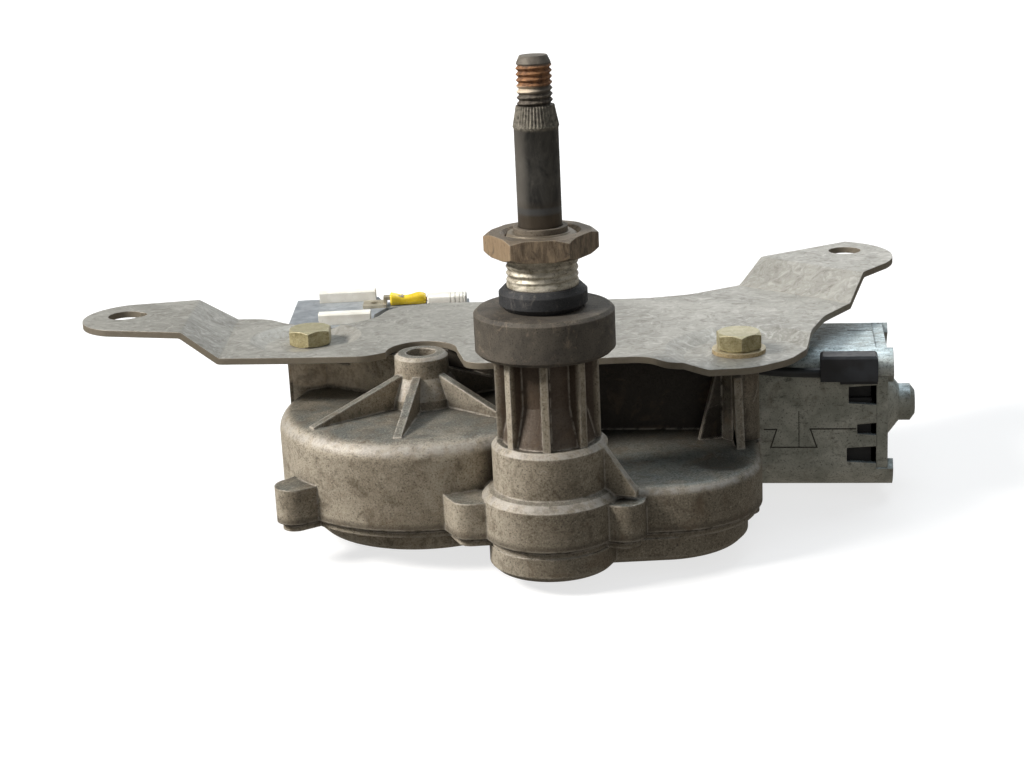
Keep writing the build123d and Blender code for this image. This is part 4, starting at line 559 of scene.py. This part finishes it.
def paint_nodes():
    """Gives the CAD nodes that stay their materials, and returns those for new pieces."""
    alloy = cast_alloy()
    alloy.paint("gear_housing", "bottom_cover")
    galvanised_sheet().paint("mounting_bracket")
    weathered_rubber(
        "ring_rubber", (0.098, 0.084, 0.065), (0.052, 0.044, 0.035), (0.23, 0.18, 0.13)
    ).paint("mounting_grommet")
    weathered_rubber(
        "collar_rubber", (0.04, 0.04, 0.042), (0.018, 0.019, 0.021), (0.12, 0.11, 0.1)
    ).paint("sleeve_collar", "cover_gasket")
    weathered_rubber(
        "seal_rubber", (0.165, 0.135, 0.10), (0.095, 0.078, 0.058), (0.24, 0.205, 0.16)
    ).paint("spindle_seal")
    tarnished_nut().paint("sleeve_nut")
    yellow_zinc("bolt_zinc", (0.26, 0.22, 0.105), (0.43, 0.375, 0.215)).paint("bracket_bolts")
    yellow_zinc("washer_zinc", (0.34, 0.25, 0.13), (0.54, 0.42, 0.24)).paint("bracket_washer")
    yoke_sheet().paint("motor_yoke", "end_plate")
    nylon = moulded("white_nylon", (0.88, 0.86, 0.79), (0.76, 0.73, 0.65), 0.5)
    nylon.paint("terminal_rails")
    vinyl = moulded("yellow_vinyl", (0.92, 0.70, 0.05), (0.72, 0.50, 0.03), 0.25)
    moulded("black_plug", (0.022, 0.025, 0.030), (0.012, 0.012, 0.014), 0.42).paint("motor_plug")
    cable = moulded("black_cable", (0.022, 0.026, 0.027), (0.012, 0.014, 0.015), 0.38)
    moulded("brush_card", (0.014, 0.014, 0.014), (0.008, 0.008, 0.008), 0.6).paint(
        "brush_holder", "switch_base", "brushes"
    )
    moulded("acetal", (0.78, 0.74, 0.64), (0.66, 0.61, 0.50), 0.4).paint("worm_wheel")
    plain_metal("terminal_steel", (0.36, 0.385, 0.41), (0.52, 0.545, 0.57), 0.38).paint(
        "terminal_plate"
    )
    plain_metal("tin_brass", (0.42, 0.37, 0.27), (0.60, 0.54, 0.42), 0.4).paint(
        "terminal_tab", "switch_contacts"
    )
    plain_metal("bright_steel", (0.40, 0.40, 0.39), (0.56, 0.56, 0.55)).paint(
        "cover_screws", "worm_shaft", "armature_stack", "wheel_axle", "wheel_clip", "crank_pin",
        "spindle_pinion", "guide_link", "sector_rod", "link_pin", "spindle_clip", "thrust_screw",
        "brush_springs",
    )
    plain_metal("magnet_ferrite", (0.05, 0.05, 0.052), (0.09, 0.09, 0.092), 0.6).paint(
        "field_magnets"
    )
    copper = plain_metal("winding_copper", (0.45, 0.20, 0.10), (0.66, 0.34, 0.19), 0.3, 1.0)
    copper.paint("armature_windings", "commutator", "contact_disc")
    plain_metal("sintered_bronze", (0.36, 0.25, 0.13), (0.50, 0.37, 0.21), 0.5, 1.2).paint(
        "upper_bush", "lower_bush", "end_bearing", "worm_bearing"
    )
    return {
        "alloy": alloy.material,
        "cable": cable.material,
        "nylon": nylon.material,
        "vinyl": vinyl.material,
        "copper": copper.material,
    }


# ---------------------------------------------------------------- motor lead
LEAD_ROUTE = [  # metres, from inside the plug to the connector block
    (0.069480, 0.036632, -0.03445),
    (0.055620, 0.038605, -0.03445),
    (0.0454, 0.0404, -0.0316),
    (0.0434, 0.0500, -0.02885),
    (0.0442, 0.0650, -0.02885),
    (0.0430, 0.0800, -0.02925),
    (0.0330, 0.0890, -0.03025),
    (0.0170, 0.0930, -0.03225),
    (0.0010, 0.0964, -0.03405),
    (-0.0120, 0.0986, -0.03505),
    (-0.0202, 0.0990, -0.0340),
    (-0.0240, 0.0990, -0.03045),
    (-0.0240, 0.0990, -0.0254),
]
LEAD_LENGTH, LEAD_D = 0.1408, 0.0024


def motor_lead(material):
    """Black lead from the motor's plug, past the back of the housing, to the connector block.

    Blender counts a point's radius into a curve's box, so the radius carries the lead's size and
    the bevel depth is 1.
    """
    curve = bpy.data.curves.new("lead_cable", "CURVE")
    curve.dimensions = "3D"
    spline = curve.splines.new("NURBS")
    spline.points.add(len(LEAD_ROUTE) - 1)
    for point, place in zip(spline.points, LEAD_ROUTE):
        point.co = (*place, 1.0)
        point.radius = LEAD_D / 2
    spline.order_u = 3
    spline.use_endpoint_u = True
    spline.resolution_u = 12
    curve.bevel_depth = 1.0
    curve.bevel_resolution = 5
    curve.use_fill_caps = True
    piece = new_object("lead_cable", curve, "housing")
    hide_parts("motor_lead")
    dress(piece, material)


# ---------------------------------------------------------------- casting and motor details
POST_PLACE = (46.8 * MM, 29.6 * MM)
POST_R, POST_BORE_R = 4.75 * MM, 3.05 * MM
POST_LOW, POST_HIGH = -48.4 * MM, -27.62 * MM
POST_AROUND = 64
FRONT_RIB = [(11.6, -48.7), (11.2, -47.2), (6.8, -30.6), (3.4, -28.2), (3.4, -48.7)]
SIDE_RIB = [(10.8, -48.7), (10.4, -47.2), (5.6, -28.6), (3.4, -28.6), (3.4, -48.7)]
RIBS = [  # reach and height of each corner in mm, heading in degrees, shift sideways, thickness
    (FRONT_RIB, -90, -1.2 * MM, 2.0 * MM),
    (SIDE_RIB, 190, 0.0, 1.6 * MM),
]
YOKE_PLACE, YOKE_TURN = Vector((-24.809, 71.061, -48.35)) * MM, math.radians(-8.1)
YOKE_FLAT = 17.8 * MM  # from the motor's axis to its flat sides
SEAM_PROUD, SEAM_SUNK = 0.03 * MM, 0.10 * MM
SEAM_WIDTH, FOLD_WIDTH, SLOT_WIDTH = 0.34 * MM, 0.6 * 0.34 * MM, 1.6 * 0.34 * MM
SHARPEST_CORNER = 0.45  # keeps a ribbon's mitres short
# paths on the yoke in mm: along the motor, and across it
SEAM = [(82.4, -1.57), (85.55, -1.6), (84.08, -6.25), (95.43, -6.3), (93.86, -1.5), (105.0, -1.5)]
FOLD_LINE = [(91.05, 3.2), (91.05, -6.1)]
TOP_SLOT = [(103.7, 4.3), (110.0, 4.3)]


def add_prism(work, outline, offset):
    """Adds a closed prism: an outline of corners, and the same outline moved by offset."""
    near = [work.verts.new(p) for p in outline]
    far = [work.verts.new(Vector(p) + Vector(offset)) for p in outline]
    count = len(outline)
    work.faces.new(near)
    work.faces.new(far[::-1])
    for i in range(count):
        k = (i + 1) % count
        work.faces.new((near[i], far[i], far[k], near[k]))


def finish_mesh(name, work):
    """Turns a bmesh into a mesh with its normals outwards."""
    bmesh.ops.recalc_face_normals(work, faces=work.faces)
    mesh = bpy.data.meshes.new(name)
    work.to_mesh(mesh)
    work.free()
    return mesh


def add_rib(work, profile, heading, shift, thick):
    """Adds an upright rib that leaves the post at a heading in degrees."""
    out = Vector((math.cos(math.radians(heading)), math.sin(math.radians(heading)), 0))
    across = Vector((-out.y, out.x, 0))
    foot = Vector((*POST_PLACE, 0)) + across * (shift - thick / 2)
    outline = [foot + out * (r * MM) + Vector((0, 0, z * MM)) for r, z in profile]
    add_prism(work, outline, across * thick)


def right_post(material):
    """Round post with two ribs under the right bracket bolt, fitted over the casting.

    The solid's own post is cut open at the front. This one covers it.
    """
    work = bmesh.new()
    x, y = POST_PLACE
    rings = []
    for r, z in (  # flared foot, tapered side, bevelled rim, bore
        (POST_R + 0.5 * MM, POST_LOW),
        (POST_R, POST_LOW + 0.8 * MM),
        (POST_R - 0.1 * MM, POST_HIGH - 0.35 * MM),
        (POST_R - 0.4 * MM, POST_HIGH),
        (POST_BORE_R, POST_HIGH),
        (POST_BORE_R, POST_LOW),
    ):
        ring = [(x + r * math.cos(a), y + r * math.sin(a), z) for a in circle(POST_AROUND)]
        rings.append([work.verts.new(point) for point in ring])
    for j in range(len(rings)):
        low, high = rings[j], rings[(j + 1) % len(rings)]
        for i in range(POST_AROUND):
            k = (i + 1) % POST_AROUND
            work.faces.new((low[i], low[k], high[k], high[i]))
    for rib in RIBS:
        add_rib(work, *rib)
    piece = new_object("right_post", finish_mesh("right_post", work), "housing")
    smooth(piece, 30)
    dress(piece, material)


def on_yoke(x, y, z):
    """Point given in the motor's own axes: along it, across it and up."""
    c, s = math.cos(YOKE_TURN), math.sin(YOKE_TURN)
    return YOKE_PLACE + Vector((x * c - y * s, x * s + y * c, z))


def add_ribbon(work, path, place, width):
    """Adds a thin ribbon along a path of 2-D points in mm; its back, inside the sheet, stays open.

    place turns a 2-D point and a height above the surface into a place in 3-D.
    """
    flat = [Vector(p) for p in path]
    sides = []
    for i, point in enumerate(flat):
        runs = []
        if i:
            runs.append((point - flat[i - 1]).normalized())
        if i < len(flat) - 1:
            runs.append((flat[i + 1] - point).normalized())
        normals = [Vector((-run.y, run.x)) for run in runs]
        mean = sum(normals, Vector((0, 0))).normalized()
        sides.append(mean * (width / MM / 2 / max(SHARPEST_CORNER, mean.dot(normals[0]))))
    outline = [p + s for p, s in zip(flat, sides)]
    outline += [p - s for p, s in zip(flat[::-1], sides[::-1])]
    front = [work.verts.new(place(p, SEAM_PROUD)) for p in outline]
    back = [work.verts.new(place(p, -SEAM_SUNK)) for p in outline]
    total = len(outline)
    for i in range(len(flat) - 1):
        work.faces.new((front[i], front[i + 1], front[total - 2 - i], front[total - 1 - i]))
    for i in range(total):
        k = (i + 1) % total
        work.faces.new((front[i], back[i], back[k], front[k]))


def yoke_lines():
    """Dovetailed seam, fold line and slot of the motor's rolled shell."""
    work = bmesh.new()

    def on_side(point, proud):
        return on_yoke(point.x * MM, -YOKE_FLAT - proud, point.y * MM)

    def on_top(point, proud):
        return on_yoke(point.x * MM, point.y * MM, YOKE_FLAT + proud)

    add_ribbon(work, SEAM, on_side, SEAM_WIDTH)
    add_ribbon(work, FOLD_LINE, on_side, FOLD_WIDTH)
    add_ribbon(work, TOP_SLOT, on_top, SLOT_WIDTH)
    piece = new_object("yoke_lines", finish_mesh("yoke_lines", work), "housing")
    dress(piece, seam_dirt().material)


# ---------------------------------------------------------------- terminals; lengths in mm
ROW_Y, ROW_FOOT = 99.0, -27.4  # the line that sleeve, wire and block lie on, and how low they reach
CRIMP = [  # along X, half width, top height, depth of the fold
    (-40.2, 1.95, -24.10, 0.50), (-39.6, 2.05, -24.05, 0.80), (-38.2, 1.85, -24.45, 0.95),
    (-36.6, 1.65, -24.98, 0.75), (-34.8, 1.65, -24.95, 0.60), (-33.0, 1.85, -24.35, 0.85),
    (-31.8, 1.95, -24.20, 0.70), (-30.8, 1.80, -24.55, 0.45), (-30.15, 1.60, -24.80, 0.30),
]
CRIMP_AROUND, CREASE_Y, CREASE_WIDTH = 40, -0.35, 0.45
SQUARE_Y, SQUARE_Z = 0.6, 0.7  # 1 gives an ellipse, less a squarer section
BLOCK_TOP, BLOCK_HALF, BLOCK_BEVEL = -25.15, 2.8, 0.35
BLOCK_CORNER, BLOCK_CORNER_CUT = 0.4, 0.13
BLOCK_ENDS, BLOCK_GROOVES = (-29.9, -19.1), (-23.4, -22.2, -21.0, -20.0)
GROOVE_MOUTH, GROOVE_FLOOR, GROOVE_DEPTH = 0.12, 0.07, 0.12  # half widths and depth
WIRE_ENDS, WIRE_Z, WIRE_RINGS, WIRE_AROUND = (-36.2, -26.4), -26.2, 90, 42
WIRE_R, WIRE_GROOVE, WIRE_TWIST, WIRE_LOBES = 0.62, 0.16, 2.6, 6


def crimp_ring(x, half, top, fold):
    """One section of the folded sleeve: flat below, rounded above, creased along its middle."""
    middle, reach = (top + ROW_FOOT) / 2, (top - ROW_FOOT) / 2
    ring = []
    for a in circle(CRIMP_AROUND):
        c, s = math.cos(a), math.sin(a)
        y = half * math.copysign(abs(c) ** SQUARE_Y, c)
        z = middle + reach * math.copysign(abs(s) ** SQUARE_Z, s)
        if s > 0:
            z -= fold * math.exp(-(((y - CREASE_Y) / CREASE_WIDTH) ** 2))
        ring.append(Vector((x, ROW_Y + y, z)) * MM)
    return ring


def folded_sleeve(material):
    """Yellow sleeve folded over the terminal's crimp."""
    mesh = lofted("folded_sleeve", [crimp_ring(*row) for row in CRIMP])
    piece = new_object("folded_sleeve", mesh, "housing")
    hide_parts("crimp_sleeve")
    bend = piece.modifiers.new("round", "SUBSURF")
    bend.levels = bend.render_levels = 2
    smooth(piece, 60)
    dress(piece, material)


def grooved_block(material):
    """White connector block, low and ribbed at its right end."""
    low, high = BLOCK_ENDS
    stops = [(low, BLOCK_BEVEL), (low + BLOCK_BEVEL, 0.0)]
    for groove in BLOCK_GROOVES:
        stops += [(groove - GROOVE_MOUTH, 0.0), (groove - GROOVE_FLOOR, GROOVE_DEPTH)]
        stops += [(groove + GROOVE_FLOOR, GROOVE_DEPTH), (groove + GROOVE_MOUTH, 0.0)]
    stops += [(high - BLOCK_BEVEL, 0.0), (high, BLOCK_BEVEL)]
    rings = []
    for x, sunk in stops:
        half, top = BLOCK_HALF - sunk, BLOCK_TOP - sunk
        right = [(half, ROW_FOOT), (half, top - BLOCK_CORNER)]
        right += [(half - BLOCK_CORNER_CUT, top - BLOCK_CORNER_CUT), (half - BLOCK_CORNER, top)]
        outline = right + [(-y, z) for y, z in right[::-1]]
        rings.append([Vector((x, ROW_Y + y, z)) * MM for y, z in outline])
    piece = new_object("grooved_block", lofted("grooved_block", rings), "housing")
    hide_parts("connector_block")
    smooth(piece, 40)
    dress(piece, material)


def wire_core(material):
    """Twisted wire between the sleeve and the block, with a lobe for each outer strand."""
    start, end = WIRE_ENDS
    rings = []
    for x in spread(start, end, WIRE_RINGS):
        turn = 2 * math.pi * (x - start) / WIRE_TWIST
        ring = []
        for a in circle(WIRE_AROUND):
            r = WIRE_R - WIRE_GROOVE * abs(math.sin(WIRE_LOBES / 2 * (a - turn)))
            ring.append(Vector((x, ROW_Y + r * math.cos(a), WIRE_Z + r * math.sin(a))) * MM)
        rings.append(ring)
    piece = new_object("wire_core", lofted("wire_core", rings), "housing")
    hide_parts("terminal_wire")
    smooth(piece, 60)
    dress(piece, material)


# ---------------------------------------------------------------- spindle and sleeve
SHAFT_R, SHAFT_LOW = 4.85 * MM, -40 * MM
EASE = 0.5 * MM  # height of the bevel at the foot, the step up to the knurl and the thread's runout
KNURL_FOOT, KNURL_TIP = 35.1 * MM, 39.6 * MM
KNURL_R, KNURL_TIP_R = 5.06 * MM, 4.19 * MM
KNURL_TEETH, KNURL_DEPTH, KNURL_FADE = 40, 0.22 * MM, 0.12
STUD_R, STUD_ROOT_R, STUD_PITCH = 3.9 * MM, 3.38 * MM, 1.25 * MM
STUD_TIP_BEVEL, STUD_TIP_STEP, STUD_TIP_SLOPE = 1.6 * MM, 0.15 * MM, 0.45
SPINDLE_AROUND, SPINDLE_STEP, HAIR = 320, 0.11 * MM, 0.01 * MM
SPIGOT_R, SPIGOT_TOP = 6.7 * MM, -15.1 * MM
SPIGOT_EDGES = (-15.2 * MM, -15.05 * MM)
SLEEVE_R, SLEEVE_ROOT_R, SLEEVE_PITCH = 8.0 * MM, 7.60 * MM, 1.5 * MM
SLEEVE_BORE_R, SLEEVE_THREAD_FOOT, SLEEVE_EASE = 5.9 * MM, 0.9 * MM, 0.8 * MM
SLEEVE_AROUND, SLEEVE_STEP, WELD = 200, 0.12 * MM, 1e-6
FLANK_SLOPE, ROOT_FLAT = 2.4, 0.1


def thread_wave(z, angle, pitch):
    """0 at the root and 1 at the crest of a single right-hand thread; crest and root are flat."""
    phase = (z / pitch - angle / (2 * math.pi)) % 1.0
    return min(1.0, max(0.0, FLANK_SLOPE * (0.5 - abs(phase - 0.5)) - ROOT_FLAT))


def spindle_radius(z, angle):
    """Radius of the wiper spindle: shaft, knurled cone, threaded end with a bevelled tip."""
    if z < KNURL_FOOT - EASE:
        return SHAFT_R - max(0.0, EASE - (z - SPINDLE_LOW.z))
    if z < KNURL_FOOT:
        return SHAFT_R + (KNURL_R - SHAFT_R) * (z - KNURL_FOOT + EASE) / EASE
    if z < KNURL_TIP:
        share = (z - KNURL_FOOT) / (KNURL_TIP - KNURL_FOOT)
        ridge = 0.5 - 0.5 * math.cos(KNURL_TEETH * angle)
        fade = min(1.0, share / KNURL_FADE)
        return KNURL_R + (KNURL_TIP_R - KNURL_R) * share - KNURL_DEPTH * fade * (1 - ridge)
    thread_end = SPINDLE_HIGH.z - STUD_TIP_BEVEL
    crest = STUD_ROOT_R + (STUD_R - STUD_ROOT_R) * thread_wave(z, angle, STUD_PITCH)
    runout = min(1.0, max(0.0, (thread_end - z) / EASE))
    bevel = STUD_R - STUD_TIP_STEP - max(0.0, z - thread_end) * STUD_TIP_SLOPE
    return min(crest * runout + bevel * (1 - runout), STUD_R)


def threaded_spindle():
    """Wiper spindle with its knurl and thread."""
    steps = int((SPINDLE_HIGH.z - KNURL_TIP) / SPINDLE_STEP)
    heights = [SPINDLE_LOW.z, SPINDLE_LOW.z + EASE]
    heights += spread(SHAFT_LOW, KNURL_FOOT - EASE, 12)
    heights += spread(KNURL_FOOT, KNURL_TIP - HAIR, 10)
    heights += spread(KNURL_TIP + HAIR, SPINDLE_HIGH.z, steps)
    mesh = lofted("threaded_spindle", turned_rings(heights, spindle_radius, SPINDLE_AROUND))
    piece = new_object("threaded_spindle", mesh, "spindle")
    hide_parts("wiper_spindle")
    smooth(piece, 50)
    dress(piece, spindle_steel().material)


def sleeve_radius(z, angle):
    """Outside of the sleeve: spigot, plain shoulder, thread and bevelled rim."""
    if z < SPIGOT_TOP:
        return SPIGOT_R
    if z < SLEEVE_THREAD_FOOT:
        return SLEEVE_R
    wave = thread_wave(z, angle, SLEEVE_PITCH)
    fade = min(1.0, (z - SLEEVE_THREAD_FOOT) / SLEEVE_EASE)
    r = SLEEVE_R - (SLEEVE_R - SLEEVE_ROOT_R) * fade * (1 - wave)
    return r - max(0.0, z - (SLEEVE_HIGH.z - SLEEVE_EASE))


def threaded_sleeve():
    """Sleeve with its thread, open through the middle."""
    steps = int((SLEEVE_HIGH.z - SLEEVE_THREAD_FOOT) / SLEEVE_STEP)
    heights = [SLEEVE_LOW.z, *SPIGOT_EDGES]
    heights += spread(SLEEVE_THREAD_FOOT, SLEEVE_HIGH.z, steps)
    rings = turned_rings(heights, sleeve_radius, SLEEVE_AROUND)
    bore = (SLEEVE_HIGH.z, SLEEVE_LOW.z)
    rings += turned_rings(bore, lambda z, angle: SLEEVE_BORE_R, SLEEVE_AROUND)
    rings.append(rings[0])
    mesh = grid_mesh("threaded_sleeve", rings)
    work = bmesh.new()
    work.from_mesh(mesh)
    bmesh.ops.remove_doubles(work, verts=work.verts, dist=WELD)
    bmesh.ops.recalc_face_normals(work, faces=work.faces)
    work.to_mesh(mesh)
    work.free()
    piece = new_object("threaded_sleeve", mesh, "housing")
    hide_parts("spindle_sleeve")
    smooth(piece, 50)
    dress(piece, bright_thread().material)


# ---------------------------------------------------------------- stage
def camera():
    """Camera at the photographed angle."""
    tilt = math.radians(CAMERA_TILT)
    roll = math.radians(CAMERA_ROLL)
    forward = Vector((0, math.cos(tilt), -math.sin(tilt)))
    level = Vector((1, 0, 0))
    upright = level.cross(forward)
    across = math.cos(roll) * level + math.sin(roll) * upright
    up = -math.sin(roll) * level + math.cos(roll) * upright
    data = bpy.data.cameras.new("camera")
    data.sensor_width = SENSOR
    data.lens = FOCAL_PIXELS / FRAME_WIDTH * SENSOR
    data.clip_start = 0.01
    data.clip_end = 50
    eye = linked("camera", data)
    turn = Matrix((across, up, -forward)).transposed()
    eye.matrix_world = Matrix.Translation(CAMERA_PLACE) @ turn.to_4x4()
    bpy.context.scene.camera = eye


def area_light(name, place, size, power, colour):
    """Square soft light aimed at the object."""
    data = bpy.data.lights.new(name, "AREA")
    data.shape = "SQUARE"
    data.size = size
    data.energy = power
    data.color = colour
    lamp = linked(name, data)
    lamp.location = place
    lamp.rotation_mode = "QUATERNION"
    aim = Vector(LIGHT_TARGET) - Vector(place)
    lamp.rotation_quaternion = aim.to_track_quat("-Z", "Y")


def glowing_paper(name, shade):
    """Material that glows white and reflects like a shade of grey; returned with its shader."""
    paper = bpy.data.materials.new(name)
    paper.use_nodes = True
    shader = paper.node_tree.nodes["Principled BSDF"]
    shader.inputs["Base Color"].default_value = (shade, shade, shade, 1)
    shader.inputs["Emission Color"].default_value = (1, 1, 1, 1)
    return paper, shader


def paper_floor():
    """Pale floor under the lowest point; it catches shadows and throws no light on the object."""
    mesh = bpy.data.meshes.new("floor")
    signs = [(-1, -1), (1, -1), (1, 1), (-1, 1)]
    corners = [(x * FLOOR_REACH, y * FLOOR_REACH, FLOOR_Z) for x, y in signs]
    mesh.from_pydata(corners, [], [(0, 1, 2, 3)])
    floor = linked("floor", mesh)
    floor.visible_diffuse = False
    floor.visible_glossy = False
    paper, shader = glowing_paper("floor_paper", FLOOR_SHADE)
    shader.inputs["Roughness"].default_value = 1.0
    shader.inputs["Specular IOR Level"].default_value = 0.0
    tree = paper.node_tree
    place = tree.nodes.new("ShaderNodeTexCoord")
    away = tree.nodes.new("ShaderNodeVectorMath")
    away.operation = "LENGTH"
    glow = tree.nodes.new("ShaderNodeMapRange")
    glow.inputs["From Min"].default_value, glow.inputs["To Min"].default_value = GLOW_NEAR
    glow.inputs["From Max"].default_value, glow.inputs["To Max"].default_value = GLOW_FAR
    tree.links.new(place.outputs["Object"], away.inputs[0])
    tree.links.new(away.outputs["Value"], glow.inputs["Value"])
    tree.links.new(glow.outputs["Result"], shader.inputs["Emission Strength"])
    mesh.materials.append(paper)


def backdrop():
    """White wall round the floor, which only the camera sees: no light or shade comes from it."""
    rings = turned_rings((FLOOR_Z, BACKDROP_TOP), lambda z, angle: FLOOR_REACH, BACKDROP_SIDES)
    wall = linked("backdrop", grid_mesh("backdrop", rings))
    wall.visible_diffuse = False
    wall.visible_glossy = False
    wall.visible_transmission = False
    wall.visible_shadow = False
    paper, shader = glowing_paper("wall_paper", 0.0)
    shader.inputs["Emission Strength"].default_value = 1.0
    wall.data.materials.append(paper)


def soft_surroundings():
    """World that is bright and cool above, dim and warm below."""
    world = bpy.data.worlds.new("studio")
    world.use_nodes = True
    tree = world.node_tree
    background = tree.nodes["Background"]
    place = tree.nodes.new("ShaderNodeTexCoord")
    split = tree.nodes.new("ShaderNodeSeparateXYZ")
    ramp = tree.nodes.new("ShaderNodeValToRGB")
    tree.links.new(place.outputs["Generated"], split.inputs[0])
    tree.links.new(split.outputs["Z"], ramp.inputs["Fac"])
    tree.links.new(ramp.outputs["Color"], background.inputs["Color"])
    stops = ramp.color_ramp.elements
    stops[0].position, stops[0].color = 0.0, (0.62, 0.58, 0.52, 1)
    stops[1].position, stops[1].color = 1.0, (0.80, 0.90, 1.0, 1)
    middle = stops.new(0.45)
    middle.color = (0.55, 0.58, 0.60, 1)
    background.inputs["Strength"].default_value = SKY_STRENGTH
    bpy.context.scene.world = world


def studio():
    """Floor, surroundings and soft studio lights."""
    paper_floor()
    backdrop()
    soft_surroundings()
    bpy.context.scene.view_settings.view_transform = "Standard"
    for light in LIGHTS:
        area_light(*light)


camera()
finishes = paint_nodes()
motor_lead(finishes["cable"])
right_post(finishes["alloy"])
yoke_lines()
folded_sleeve(finishes["vinyl"])
grooved_block(finishes["nylon"])
wire_core(finishes["copper"])
threaded_spindle()
threaded_sleeve()
studio()

bpy.context.view_layer.update()
